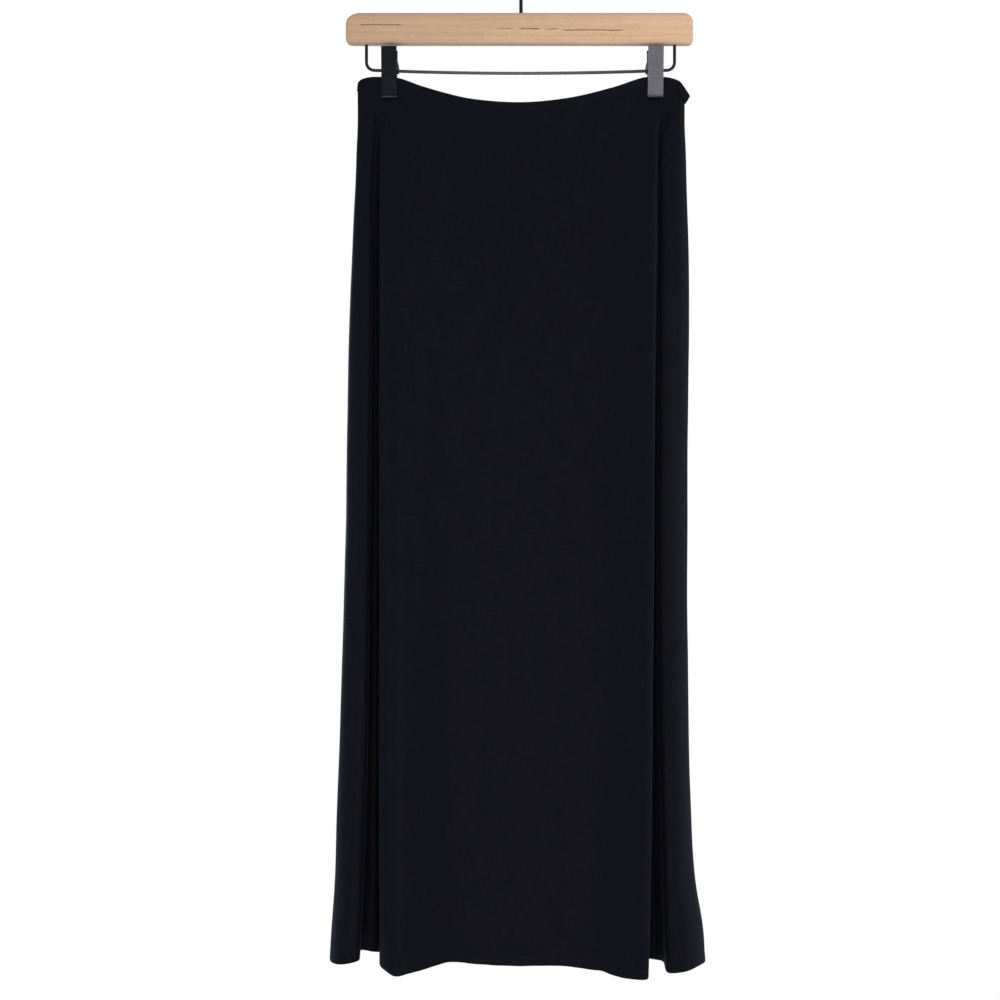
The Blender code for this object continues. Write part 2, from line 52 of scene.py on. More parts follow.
def addNode(tree, kind, inputs=None, **settings):
    # makes a node and sets its inputs, or links them where the value is another node's socket
    node = tree.nodes.new(kind)
    assign(node, **settings)
    for socket, value in (inputs or {}).items():
        target = node.inputs[socket]
        if isinstance(value, bpy.types.NodeSocket):
            tree.links.new(value, target)
        else:
            target.default_value = value
    return node


def mathNode(tree, operation, first, second=0.0, third=0.0):
    inputs = {0: first, 1: second, 2: third}
    return addNode(tree, "ShaderNodeMath", inputs, operation=operation).outputs[0]


def times(tree, value, *others):
    for other in others:
        value = mathNode(tree, "MULTIPLY", value, other)
    return value


def addScaled(tree, value, scale, base):
    # value times scale, on top of base
    return mathNode(tree, "MULTIPLY_ADD", value, scale, base)


def rampNode(tree, factor, stops):
    node = addNode(tree, "ShaderNodeValToRGB", {0: factor})
    ramp = node.color_ramp
    while len(ramp.elements) < len(stops):
        ramp.elements.new(0.5)
    for element, (place, colour) in zip(ramp.elements, stops):
        element.position = place
        element.color = (*colour, 1.0)
    return node.outputs[0]


def stretched(tree, vector, scale):
    return addNode(tree, "ShaderNodeMapping", {"Vector": vector, "Scale": scale}).outputs[0]


def noiseNode(tree, vector, scale, detail=2.0, roughness=0.5):
    if isinstance(scale, tuple):  # one scale for each direction
        vector, scale = stretched(tree, vector, scale), 1.0
    inputs = {"Vector": vector, "Scale": scale, "Detail": detail, "Roughness": roughness}
    return addNode(tree, "ShaderNodeTexNoise", inputs).outputs["Fac"]


def between(tree, factor, low, high, start=0.0, end=1.0, **settings):
    # a factor from start to end turned into a value from low to high
    inputs = {"Value": factor, "From Min": start, "From Max": end, "To Min": low, "To Max": high}
    return addNode(tree, "ShaderNodeMapRange", inputs, **settings).outputs[0]


def bumpNode(tree, height, strength, distance):
    inputs = {"Height": height, "Strength": strength, "Distance": distance}
    return addNode(tree, "ShaderNodeBump", inputs).outputs[0]


def placeIn(tree):
    # where a point of the piece lies in the shared frame
    return addNode(tree, "ShaderNodeTexCoord").outputs["Object"]


def newMaterial(name, **plain):
    # plain values go straight on the shader's own sockets
    made = bpy.data.materials.new(name)
    made.use_nodes = True
    tree = made.node_tree
    shader = tree.nodes["Principled BSDF"]
    for socket, value in plain.items():
        shader.inputs[socket.replace("_", " ")].default_value = value
    return made, tree, shader


def closeMaterial(made, shader, colour, roughness=None, normal=None):
    for socket, value in (("Base Color", colour), ("Roughness", roughness), ("Normal", normal)):
        if value is not None:
            made.node_tree.links.new(value, shader.inputs[socket])
    return made


def scaled(colour, factor):
    return tuple(value * factor for value in colour)


def mixColour(tree, share, ground, colour):
    # one plain colour laid over the ground with the given share
    inputs = {0: share, 6: ground, 7: (*colour, 1.0)}
    return addNode(tree, "ShaderNodeMix", inputs, data_type="RGBA").outputs[2]


def addObject(name, data):
    made = bpy.data.objects.new(name, data)
    bpy.context.scene.collection.objects.link(made)
    return made


def finishedMesh(piece):
    # the mesh that the piece's modifiers make
    bpy.context.view_layer.update()
    seen = piece.evaluated_get(bpy.context.evaluated_depsgraph_get())
    return bpy.data.meshes.new_from_object(seen)


# Cloth

knit = {
    "darkShade": (0.0008, 0.0008, 0.0013),
    "lightShade": (0.0031, 0.0029, 0.0049),
    "roughness": 0.56,
    "shine": 0.045,  # specular level of the smooth filament yarn
    "shineTint": (0.88, 0.89, 1.0, 1.0),
    "sheen": 0.027,
    "sheenTint": (0.60, 0.70, 1.0, 1.0),
    "ribPitch": 0.00115,  # from one rib of the knit to the next
    "coursePitch": 0.00078,
    "relief": 0.00012,
    "mottle": 62.0,
    "tealShade": (0.0012, 0.0022, 0.0034),  # where the dye looks greener
    "tealShare": 0.45,
    "grain": 330.0,
}


def knitMaterial(name, brighter=1.0):
    made, tree, shader = newMaterial(
        name,
        Roughness=knit["roughness"],
        Specular_IOR_Level=knit["shine"],
        Specular_Tint=knit["shineTint"],
        Sheen_Weight=knit["sheen"],
        Sheen_Roughness=0.5,
        Sheen_Tint=knit["sheenTint"],
    )
    uv = addNode(tree, "ShaderNodeTexCoord").outputs["UV"]
    across, down = addNode(tree, "ShaderNodeSeparateXYZ", {0: uv}).outputs[:2]
    # yarns wander a little, so neither ribs nor courses run dead straight
    wander = noiseNode(tree, uv, 160.0, 2.0)
    ribAt = addScaled(tree, wander, 0.0011, across)
    rib = mathNode(tree, "SINE", times(tree, ribAt, 2 * math.pi / knit["ribPitch"]))
    ribBulge = mathNode(tree, "ABSOLUTE", rib)
    courseAt = addScaled(tree, ribBulge, 0.0002, down)
    course = mathNode(tree, "SINE", times(tree, courseAt, 2 * math.pi / knit["coursePitch"]))
    loops = addScaled(tree, course, 0.22, ribBulge)
    streaks = noiseNode(tree, uv, (900.0, 70.0, 1.0), 3.0)
    height = addScaled(tree, streaks, 0.9, loops)
    patches = noiseNode(tree, stretched(tree, uv, (1.0, 0.55, 1.0)), knit["mottle"], 3.0, 0.6)
    grain = noiseNode(tree, uv, knit["grain"], 2.0, 0.7)
    shade = addScaled(tree, streaks, 0.30, times(tree, patches, 0.26))
    shade = addScaled(tree, grain, 0.72, shade)
    dark, light = scaled(knit["darkShade"], brighter), scaled(knit["lightShade"], brighter)
    hue = noiseNode(tree, stretched(tree, uv, (1.0, 0.8, 1.0)), knit["mottle"] * 0.7, 2.0)
    hue = between(tree, hue, 0.0, knit["tealShare"], 0.45, 0.68)
    colour = rampNode(tree, shade, ((0.48, dark), (0.80, light)))
    colour = mixColour(tree, hue, colour, scaled(knit["tealShade"], brighter))
    return closeMaterial(made, shader, colour, normal=bumpNode(tree, height, 0.35, knit["relief"]))


# How the outline and the folds move in and out from the clips down to the hem, in mm.
# The left valley lies between lobeLeft and panelLeft, the right one between panelRight and
# lobeRight. depth is the share of the folds' depth at the hem, gather that of their place.
heightLines = (
    # z, left, lobeLeft, panelLeft, panelRight, lobeRight, right, depth, gather
    (-157, -165.2, -146.0, -142.4, 142.2, 146.2, 167.2, 0.00, 0.00),
    (-180, -165.3, -146.0, -142.4, 142.2, 146.2, 168.4, 0.00, 0.00),
    (-200, -165.4, -147.0, -142.4, 141.8, 145.8, 167.6, 0.08, 0.45),
    (-226, -166.3, -149.6, -142.3, 141.2, 144.4, 168.8, 0.17, 0.90),
    (-262, -167.6, -151.4, -142.2, 140.3, 143.9, 169.8, 0.26, 1.00),
    (-330, -170.9, -151.2, -142.2, 139.6, 143.2, 172.2, 0.37, 1.00),
    (-420, -174.6, -151.6, -142.0, 137.8, 141.8, 172.8, 0.46, 1.00),
    (-540, -177.0, -152.2, -142.0, 136.6, 140.6, 171.0, 0.56, 1.00),
    (-680, -179.7, -153.6, -141.8, 135.6, 139.8, 171.0, 0.67, 1.00),
    (-800, -183.5, -154.8, -141.6, 134.0, 141.0, 172.2, 0.77, 1.00),
    (-900, -187.2, -157.0, -141.4, 132.6, 143.2, 174.7, 0.86, 1.00),
    (-980, -189.8, -159.6, -141.2, 130.8, 145.2, 179.9, 0.93, 1.00),
    (-1030, -193.4, -161.9, -141.0, 129.6, 146.6, 187.6, 0.98, 1.00),
    (-1062, -195.2, -164.0, -141.0, 128.8, 147.4, 190.0, 1.00, 1.00),
)
left, lobeLeft, panelLeft, panelRight, lobeRight, right, depthShare, gatherShare = range(8)


def bendsBetween(first, second, rows):
    return [row[:4] + (first, second) + row[4:] for row in rows]


# One row for each bend of the cloth, going round from the left seam over the front, in mm.
# Its place on the waist seam, how far the casing's top leans to the right of that, its share of
# the way between the two lines named above it, and its depth and height at the hem:
# waistX, waistY, waistZ, lean, share, hemY, hemZ
frontFolds = [
    *bendsBetween(left, lobeLeft, (
        (-165.2, 0, -171.8, 1, 0, 24, -1061),
        (-162, -2.7, -169.9, 0.6, 0.16, -2, -1060.2),
        (-156.5, -2.9, -168.3, 0, 0.55, -15, -1057.8),
        (-151.8, -2.5, -167.4, 0, 0.97, -13, -1055.4),
    )),
    *bendsBetween(lobeLeft, panelLeft, (
        (-148.8, -2.1, -167.1, 0, -0.04, 17, -1052.8),
        (-145.6, -1.8, -167, 0, 0.5, 22, -1055.1),
        (-142.6, -1.6, -167, 0, 0.97, 15, -1054.4),
    )),
    *bendsBetween(panelLeft, panelRight, (
        (-139, -1.6, -167, 0, 0, -20, -1057.6),
        (-131, -1.6, -167, 0, 0.058, -37, -1062.9),
        (-122.5, -1.7, -168.4, 0, 0.14, -30, -1060.5),
        (-98, -3.4, -177.4, 0, 0.245, -12, -1057),
        (-54, -6.6, -189.2, 0, 0.38, -5, -1060.9),
        (0, -8, -194.2, 0, 0.52, -4, -1062.6),
        (50, -6.8, -189.4, 0, 0.685, -5, -1062.3),
        (95, -3.6, -177.9, 0, 0.825, -13, -1065.3),
        (126, -1.7, -167.6, 0, 0.915, -30, -1067.5),
        (135, -1.6, -167, 0, 0.99, -38, -1066),
        (143.4, -1.6, -167, 0, 0.993, -21, -1062.6),
    )),
    *bendsBetween(panelRight, lobeRight, (
        (147, -1.8, -167.1, 0, 0.04, 4, -1057.6),
        (150, -2.1, -167.5, 0.2, 0.5, 14, -1061.6),
        (153, -2.4, -168.3, 0.5, 0.94, 4, -1060.8),
    )),
    *bendsBetween(lobeRight, right, (
        (156.2, -2.7, -169.4, 1, 0.04, -19, -1065.4),
        (160.2, -2.9, -171.6, 2.4, 0.34, -21, -1064.4),
        (164.2, -3.1, -178.6, 4.2, 0.8, -9, -1061.2),
    )),
]
backFolds = [
    *bendsBetween(lobeRight, right, (
        (167.6, 0, -184, 5.2, 1, 12, -1060.8),
    )),
    *bendsBetween(left, right, (
        (164.2, 3.1, -180.4, 4.2, 0.965, 33, -1058.4),
        (157.5, 2.9, -171, 1.2, 0.905, 46, -1056.4),
        (147.5, 1.9, -167.2, 0, 0.85, 31, -1055),
        (136, 1.6, -167, 0, 0.79, 50, -1056.4),
        (122, 1.8, -169.8, 0, 0.715, 31, -1055),
        (94, 3.6, -178, 0, 0.63, 45, -1056),
        (50, 6.2, -189.8, 0, 0.55, 25, -1054.6),
        (0, 7.2, -195.6, 0, 0.485, 36, -1055.6),
        (-50, 6.2, -192, 0, 0.42, 25, -1054.4),
        (-92, 3.6, -179.8, 0, 0.345, 46, -1056),
        (-119, 1.8, -170, 0, 0.265, 31, -1054.6),
        (-131, 1.6, -167, 0, 0.195, 52, -1055.6),
        (-143, 1.6, -167, 0, 0.14, 38, -1054),
        (-153.5, 2.7, -167.6, 0, 0.085, 50, -1055.6),
        (-162, 2.7, -169.9, 0.6, 0.03, 42, -1058.4),
    )),
]
folds = frontFolds + backFolds
frontMiddle, backMiddle = 12, len(frontFolds) + 8  # the bends that lie on the centre lines

# Soft creases, each a ridge (height above 0) or a trough (below 0) that runs down the cloth.
frontCreases = (
    # topX, topZ, lowX, lowZ, width, height, all in mm
    (-106, -196, -103.5, -640, 5.5, -1.1),
    (-100, -203, -98.5, -330, 2.6, 0.55),
    (-121.5, -188, -119, -268, 3.2, -0.6),
    (-75.5, -204, -73, -262, 2.2, 0.35),
    (-68, -352, -66.5, -482, 3.4, 0.42),
    (-22, -560, -19, -720, 7, 0.35),
    (-46, -780, -44, -960, 9, 0.5),
    (44, -462, 42.5, -585, 8, 0.45),
    (57, -246, 56, -352, 2.6, 0.55),
    (62, -220, 63, -280, 2.2, -0.4),
    (79, -206, 77, -242, 2.2, 0.38),
    (93, -210, 97, -292, 2.8, 0.48),
    (117, -184, 119.5, -214, 2, 0.35),
    (114.5, -342, 112.5, -720, 4.2, -1.05),
    (106.5, -372, 104.5, -560, 5, 0.6),
    (103, -640, 101, -950, 14, -1.4),
    (-158.5, -260, -166, -520, 3, 0.4),
    (-170, -640, -175, -960, 4.5, -0.6),
    (157, -300, 158, -610, 3.4, -0.45),
    (160, -720, 166, -1000, 4.5, 0.55),
)
backCreases = (
    # topX, topZ, lowX, lowZ, width, height, all in mm
    (-101, -200, -98, -590, 5, -1),
    (-70, -230, -68, -330, 2.8, 0.45),
    (-30, -340, -28, -520, 6, 0.55),
    (12, -600, 15, -800, 9, -0.7),
    (35, -220, 37, -310, 2.6, 0.4),
    (66, -260, 63, -450, 4.2, -0.7),
    (108, -200, 105, -660, 4.6, -0.95),
    (128, -230, 124, -300, 3, 0.45),
    (-128, -420, -134, -760, 7, 0.7),
    (80, -700, 84, -980, 12, 0.9),
    (-66, -700, -70, -990, 11, -0.8),
)

cloth = {
    "wall": 0.9 * mm,
    "seamGap": 0.06 * mm,  # between the two panels at the side seams
    "cornering": 0.6,  # how evenly the cloth rounds its bends
    "columnWidth": 2.9 * mm,
    "backColumnWidth": 3.3 * mm,
    "panelLength": 0.893,
    "rowHeight": 4.4 * mm,
    "tuckRows": (6.0 * mm, 2.0 * mm),  # how far the panel reaches up inside the casing
    "allowance": 4.0 * mm,  # the seam allowance that turns inwards along each side seam
    "hemTurn": 12.0 * mm,
    "hemFold": 0.5 * mm,  # radius of the fold at the hem
    "hemRows": 6,  # rows of faces in the turned hem
    "hemPucker": 0.28 * mm,
    "hemWaver": 0.5 * mm,  # how far the hem's edge rises and falls
    "waves": (  # of cloth that hangs free: height, length across, length down, seed
        (0.42 * mm, 0.034, 0.085, 5),
        (0.13 * mm, 0.013, 0.040, 6),
    ),
    "threadOut": 0.04 * mm,  # how far the stitches' line stands off the cloth
}


def slopesAt(keys, values):
    step = np.diff(keys)[:, None]
    rise = np.diff(values, axis=0) / step
    inner = (rise[:-1] * step[1:] + rise[1:] * step[:-1]) / (step[:-1] + step[1:])
    return np.vstack([rise[:1], inner, rise[-1:]])


def smoothBetween(keys, values, at):
    keys = np.asarray(keys, float)
    values = np.asarray(values, float)
    at = np.clip(at, keys[0], keys[-1])
    slope = slopesAt(keys, values)
    low = np.clip(np.searchsorted(keys, at, side="right") - 1, 0, len(keys) - 2)
    width = (keys[low + 1] - keys[low])[:, None]
    t = (at - keys[low])[:, None] / width
    near = (1 + 2 * t) * (1 - t) ** 2 * values[low] + t * (1 - t) ** 2 * width * slope[low]
    far = t * t * (3 - 2 * t) * values[low + 1] + t * t * (t - 1) * width * slope[low + 1]
    return near + far


def bendDown(fold, share):
    # where one bend of the cloth lies at each share of the way from the waist seam to the hem
    waistX, waistY, waistZ, lean, first, second, part, hemY, hemZ = fold
    z = (waistZ + (hemZ - waistZ) * share) * mm
    table = np.array(heightLines, float)[::-1]
    lines = smoothBetween(table[:, 0] * mm, table[:, 1:], z)
    hungX = lines[:, first] + (lines[:, second] - lines[:, first]) * part
    x = (waistX + (hungX - waistX) * lines[:, gatherShare]) * mm
    y = (waistY + (hemY - waistY) * lines[:, depthShare]) * mm
    return np.stack([x, y, z], axis=1)


def lengthsAlong(points, power=1.0):
    # the length along a line of points up to each of them
    steps = np.linalg.norm(np.diff(points, axis=0), axis=1) ** power
    return np.concatenate([[0.0], np.cumsum(steps)])


def loopThrough(points, counts):
    # a smooth closed loop through one row of bends, with counts points for each of them
    wrapped = np.vstack([points[-3:], points, points[:4]])
    key = lengthsAlong(wrapped, cloth["cornering"])
    at = []
    for i, count in enumerate(counts):
        first, last = key[i + 3], key[i + 4]
        at.extend(first + (last - first) * k / count for k in range(count))
    return smoothBetween(key, wrapped, np.array(at))


def unit(vectors):
    return vectors / np.maximum(np.linalg.norm(vectors, axis=-1, keepdims=True), 1e-12)


def normalsOf(grid, closed):
    if closed:
        across = np.roll(grid, -1, axis=1) - np.roll(grid, 1, axis=1)
    else:
        across = np.gradient(grid, axis=1)
    return unit(np.cross(np.gradient(grid, axis=0), across))


def softNoise(across, down, seed):
    # smooth random values from -1 to 1, one lump for each whole number across and down
    size = 97
    table = np.random.default_rng(seed).uniform(-1, 1, (size, size))
    i, j = np.floor(across).astype(int), np.floor(down).astype(int)
    s, t = across - i, down - j
    s, t = s * s * (3 - 2 * s), t * t * (3 - 2 * t)
    pick = lambda a, b: table[a % size, b % size]
    low = pick(i, j) * (1 - s) + pick(i + 1, j) * s
    high = pick(i, j + 1) * (1 - s) + pick(i + 1, j + 1) * s
    return low * (1 - t) + high * t


def fadeBetween(value, start, end):
    t = np.clip((value - start) / (end - start), 0, 1)
    return t * t * (3 - 2 * t)


def creased(grid, creases, seed):
    # how far soft creases lift each point of the grid along its normal
    x, z = grid[..., 0] / mm, grid[..., 2] / mm
    lift = np.zeros(x.shape)
    for k, (topX, topZ, lowX, lowZ, width, height) in enumerate(creases):
        share = (topZ - z) / (topZ - lowZ)
        sway = softNoise(share * 3.1, np.full(x.shape, k + 0.5), seed) * width * 0.35
        middle = topX + (lowX - topX) * share + sway
        ends = fadeBetween(share, -0.04, 0.22) * (1 - fadeBetween(share, 0.55, 1.05))
        swell = 1 + 0.35 * softNoise(share * 5.3, np.full(x.shape, k + 9.5), seed + 1)
        lift += height * swell * ends * np.exp(-(((x - middle) / width) ** 2))
    return lift * mm


def hangingGrid():
    length = cloth["panelLength"]
    hemEdge = (cloth["hemFold"] + cloth["wall"] / 2) / length
    turnShare = cloth["hemTurn"] / length
    rowCount = round(length * (1 - turnShare) / cloth["rowHeight"])
    shares = np.concatenate([
        np.linspace(0, 1 - turnShare - hemEdge, rowCount, endpoint=False) ** 1.06,
        np.linspace(1 - turnShare - hemEdge, 1 - hemEdge, cloth["hemRows"] + 1),
    ])
    bends = np.stack([bendDown(fold, shares) for fold in folds], axis=1)
    chords = np.linalg.norm(np.roll(bends, -1, axis=1) - bends, axis=2).max(axis=0)
    counts = []
    for k, chord in enumerate(chords):
        width = cloth["columnWidth"] if k < len(frontFolds) else cloth["backColumnWidth"]
        counts.append(max(3, math.ceil(chord / width)))
    grid = np.stack([loopThrough(row, counts) for row in bends])
    return grid, counts, shares


def alongFrom(grid, middle):
    # signed length along the cloth from its centre line, row by row
    steps = np.linalg.norm(np.diff(grid, axis=1), axis=2)
    along = np.concatenate([np.zeros((len(grid), 1)), np.cumsum(steps, axis=1)], axis=1)
    return along - along[:, middle:middle + 1]


def seamEnd(grid, normal, end, turn):
    # one side edge of a panel, turned inwards along its side seam
    beside = 1 if end == 0 else -2
    t = unit(grid[:, beside] - grid[:, end])[:, None]
    n = normal[:, end][:, None]
    held = cloth["wall"] / 2 + cloth["seamGap"] / 2
    forward = np.array([0.35, 0.10, 0.0, 0.0, 0.0]) * mm + held
    inward = np.array([0.03, 0.22, 0.60, 1.70, cloth["allowance"] / mm]) * mm
    edge = grid[:, end][:, None] + t * forward[None, :, None]
    edge = edge - n * inward[None, :, None] * turn[:, None, None]
    return edge if end == -1 else edge[:, ::-1]


def panelSheet(grid, columns, middle, shares, up):
    # the whole cut of one panel as hung: tucked into the casing, turned at its seams and hem
    panel = grid[:, columns]
    normal = normalsOf(panel, closed=False)
    depth = shares * cloth["panelLength"]
    turn = fadeBetween(depth, 0.0, 0.015) * fadeBetween(cloth["panelLength"] - depth, 0.012, 0.03)
    turn = np.maximum(turn, 0.3)  # the allowance is narrower by the casing and in the hem
    first = seamEnd(panel, normal, 0, turn)
    last = seamEnd(panel, normal, -1, turn)
    panel = np.concatenate([first, panel[:, 1:-1], last], axis=1)
    middle = middle + first.shape[1] - 1
    normal = normalsOf(panel, closed=False)
    ups = up[columns]
    ups = np.concatenate([
        np.repeat(ups[:1], first.shape[1], 0), ups[1:-1], np.repeat(ups[-1:], last.shape[1], 0),
    ])
    tucked = [panel[0] + ups * rise for rise in cloth["tuckRows"]]
    radius = cloth["hemFold"]
    downward = unit(panel[-1] - panel[-2])
    hemAngles = np.radians([45, 90, 135, 180])
    folded = []
    for angle in hemAngles:
        below, behind = math.sin(angle), 1 - math.cos(angle)
        folded.append(panel[-1] + downward * radius * below - normal[-1] * radius * behind)
    hemRows = cloth["hemRows"]
    turned = [panel[-1 - k] - normal[-1 - k] * 2 * radius for k in range(1, hemRows + 1)]
    sheet = np.concatenate([np.stack(tucked), panel, np.stack(folded), np.stack(turned)])
    across = alongFrom(panel, middle)
    rows = np.concatenate([
        np.array([-rise for rise in cloth["tuckRows"]]),
        depth,
        depth[-1] + radius * hemAngles,
        depth[-1] + radius * math.pi + (depth[-1] - depth[-2:-2 - hemRows:-1]),
    ])
    index = np.concatenate([
        np.zeros(len(tucked), int),
        np.arange(len(panel)),
        np.full(len(folded), len(panel) - 1),
        np.arange(len(panel) - 2, len(panel) - 2 - hemRows, -1),
    ])
    uv = np.stack([across[index], np.repeat(-rows[:, None], sheet.shape[1], 1)], axis=2)
    return sheet, uv


def gridMesh(name, sheet, uv, wall, material):
    # a closed thin wall on both sides of a grid of points, with the grid's own map
    offset = normalsOf(sheet, closed=False) * wall / 2
    rows, columns = sheet.shape[:2]
    count = rows * columns
    at = np.arange(count).reshape(rows, columns)
    outer = np.stack([at[:-1, :-1], at[1:, :-1], at[1:, 1:], at[:-1, 1:]], -1).reshape(-1, 4)
    inner = outer[:, [0, 3, 2, 1]] + count
    edge = np.concatenate([at[0, :-1], at[:-1, -1], at[-1, :0:-1], at[:0:-1, 0]])
    following = np.roll(edge, -1)
    rim = np.stack([edge, following, following + count, edge + count], -1)
    points, quads = np.stack([sheet + offset, sheet - offset]), np.concatenate([outer, inner, rim])
    return meshPiece(name, points, quads, np.stack([uv, uv]), material)


def meshPiece(name, points, quads, uv, material):
    mesh = bpy.data.meshes.new(name)
    mesh.from_pydata(points.reshape(-1, 3).tolist(), [], quads.reshape(-1, 4).tolist())
    layer = mesh.uv_layers.new(name="cloth")
    corner = np.zeros(len(mesh.loops), np.int32)
    mesh.loops.foreach_get("vertex_index", corner)
    layer.data.foreach_set("uv", uv.reshape(-1, 2)[corner].astype(np.float32).ravel())
    mesh.materials.append(material)
    mesh.shade_smooth()
    mesh.update()
    return addObject(name, mesh)


def facesOutward(piece):
    # turns the faces round where the wall came out inside out
    bm = bmesh.new()
    bm.from_mesh(piece.data)
    if bm.calc_volume(signed=True) < 0:
        bmesh.ops.reverse_faces(bm, faces=bm.faces)
        bm.to_mesh(piece.data)
    bm.free()
    return piece


casing = {
    "height": 10.0 * mm,
    "thickness": 2.4 * mm,
    "leaf": 0.6 * mm,  # thickness of each of its two layers
    "mouth": 0.55 * mm,  # how far its two layers stand off the middle where they are sewn
    "side": ((0.66, 0.0), (0.80, 0.05), (0.88, 0.15), (0.97, 0.30), (1.0, 0.50), (1.0, 0.75)),
    "pucker": 0.16 * mm,
    "stitchUp": 1.3 * mm,  # how far above its lower edge it is sewn
    "stitchOut": 0.87,  # how far it bulges there, as a share of half its thickness
}


def casingRing(low, high):
    # the strip folded over the elastic, as a ring with an open lower edge
    rise = unit(high - low)
    out = normalsOf(np.stack([high, low]), closed=True)[1]
    along = lengthsAlong(np.vstack([low, low[:1]]))
    half, leaf, top = casing["thickness"] / 2, casing["leaf"], casing["height"]
    shoulder = top - half
    angles = np.radians(np.linspace(0, 90, 6))
    side = [(half * across, shoulder * share) for across, share in casing["side"]]
    side += [(half * math.cos(a), shoulder + half * math.sin(a)) for a in angles]
    outerLine = side + [(-x, y) for x, y in side[-2::-1]]
    hollow = half - leaf
    side = [(casing["mouth"], 0.0), (hollow, shoulder * 0.5)]
    side += [(hollow * math.cos(a), shoulder + hollow * math.sin(a)) for a in angles[::2]]
    innerLine = side + [(-x, y) for x, y in side[-2::-1]]
    profile = outerLine + innerLine[::-1]
    pucker = softNoise(along[:-1] / (3.4 * mm), np.zeros(len(low)), 41)
    pucker += softNoise(along[:-1] / (7.5 * mm), np.full(len(low), 3.5), 42)
    points = []
    for x, y in profile:
        swell = casing["pucker"] * pucker * math.sin(math.pi * min(y / shoulder, 1.0)) * np.sign(x)
        points.append(low + rise * y + out * (x + swell)[:, None])
    rings = np.stack(points, axis=1)  # one ring of profile points for each column
    count, size = rings.shape[:2]
    at = np.arange(count * size).reshape(count, size)
    following = np.roll(at, -1, axis=0)
    quads = np.stack([at, np.roll(at, -1, axis=1), np.roll(following, -1, axis=1), following], -1)
    edge = lengthsAlong(profile)
    uv = np.stack([np.repeat(along[:-1, None], size, 1), np.repeat(edge[None], count, 0)], -1)
    piece = meshPiece("waistCasing", rings, quads, uv, casingKnit)
    stitchOut = half * casing["stitchOut"] + cloth["threadOut"]
    stitchLine = low + rise * casing["stitchUp"] + out * stitchOut
    return facesOutward(piece), stitchLine, along[-1]


skirtKnit = knitMaterial("blackKnit")
casingKnit = knitMaterial("blackKnitCasing", brighter=1.12)

grid, counts, shares = hangingGrid()
waistLow = grid[0].copy()
waistHighBends = []
for fold in folds:
    x, y, z, lean = (value * mm for value in fold[:4])
    waistHighBends.append((x + lean, y, z + math.sqrt(casing["height"] ** 2 - lean ** 2)))
waistHigh = loopThrough(np.array(waistHighBends), counts)

frontColumns = sum(counts[: len(frontFolds)])
totalColumns = grid.shape[1]
normal = normalsOf(grid, closed=True)
around = alongFrom(grid, sum(counts[:frontMiddle]))
depth = np.repeat((shares * cloth["panelLength"])[:, None], totalColumns, 1)
free = fadeBetween(depth, 0.004, 0.045)
lift = creased(grid[:, :frontColumns], frontCreases, 11)
backLift = creased(grid[:, frontColumns:], backCreases, 23)
lift = np.concatenate([lift, backLift], axis=1) * fadeBetween(depth, 0.004, 0.03)
for height, across, down, seed in cloth["waves"]:
    lift += height * free * softNoise(around / across, depth / down, seed)
fromHem = cloth["panelLength"] - depth
hemBand = np.exp(-(((fromHem - cloth["hemTurn"]) / 0.007) ** 2))
lift += cloth["hemPucker"] * hemBand * softNoise(around / 0.0075, depth / 0.02, 7)
grid = grid + normal * lift[..., None]
nearHem = fadeBetween(-fromHem, -0.02, 0.0)
grid[..., 2] += cloth["hemWaver"] * nearHem * softNoise(around / 0.012, depth * 0, 8)
print("cloth hung:", grid.shape[0], "rows,", totalColumns, "columns")

up = unit(waistHigh - waistLow)
frontSheet, frontUv = panelSheet(
    grid, np.arange(0, frontColumns + 1), sum(counts[:frontMiddle]), shares, up
)
backSheet, backUv = panelSheet(
    grid, np.arange(frontColumns, totalColumns + 1) % totalColumns,
    sum(counts[:backMiddle]) - frontColumns, shares, up
)
skirtFront = facesOutward(gridMesh("skirtFront", frontSheet, frontUv, cloth["wall"], skirtKnit))
skirtBack = facesOutward(gridMesh("skirtBack", backSheet, backUv, cloth["wall"], skirtKnit))
waistCasing, waistStitchLine, waistLength = casingRing(waistLow, waistHigh)
waistRow = len(cloth["tuckRows"])
hipRow = waistRow + 60  # about 0.25 m below the waist seam
for name, uv in (("front", frontUv), ("back", backUv)):
    widths = (uv[:, -1, 0] - uv[:, 0, 0])[[waistRow, hipRow, len(shares)]]
    print(name, "cut width at waist, hip and hem:", np.round(widths, 3).tolist())
print("waist seam length", round(float(waistLength), 3))


# Stitches, laid along a seam's line by one tree

thread = {
    "hemPitch": 3.2 * mm,
    "waistPitch": 2.6 * mm,
    "stitch": 2.1 * mm,
    "radius": 0.17 * mm,
    "sink": 0.16 * mm,
    "uneven": 0.12,
    "seed": 4,
    "clearOfSeams": 8,  # columns of cloth at each side seam without hem stitches
    "darkShade": (0.0012, 0.0012, 0.0020),
    "lightShade": (0.0030, 0.0030, 0.0045),
}


def threadMaterial():
    made, tree, shader = newMaterial("blackThread", Roughness=0.6, Specular_IOR_Level=0.06)
    place = placeIn(tree)
    plies = {"Vector": place, "Scale": 900.0, "Distortion": 1.5}
    twist = addNode(tree, "ShaderNodeTexWave", plies, bands_direction="DIAGONAL").outputs["Fac"]
    colour = rampNode(tree, twist, ((0.2, thread["darkShade"]), (0.8, thread["lightShade"])))
    return closeMaterial(made, shader, colour, normal=bumpNode(tree, twist, 0.4, 0.00006))


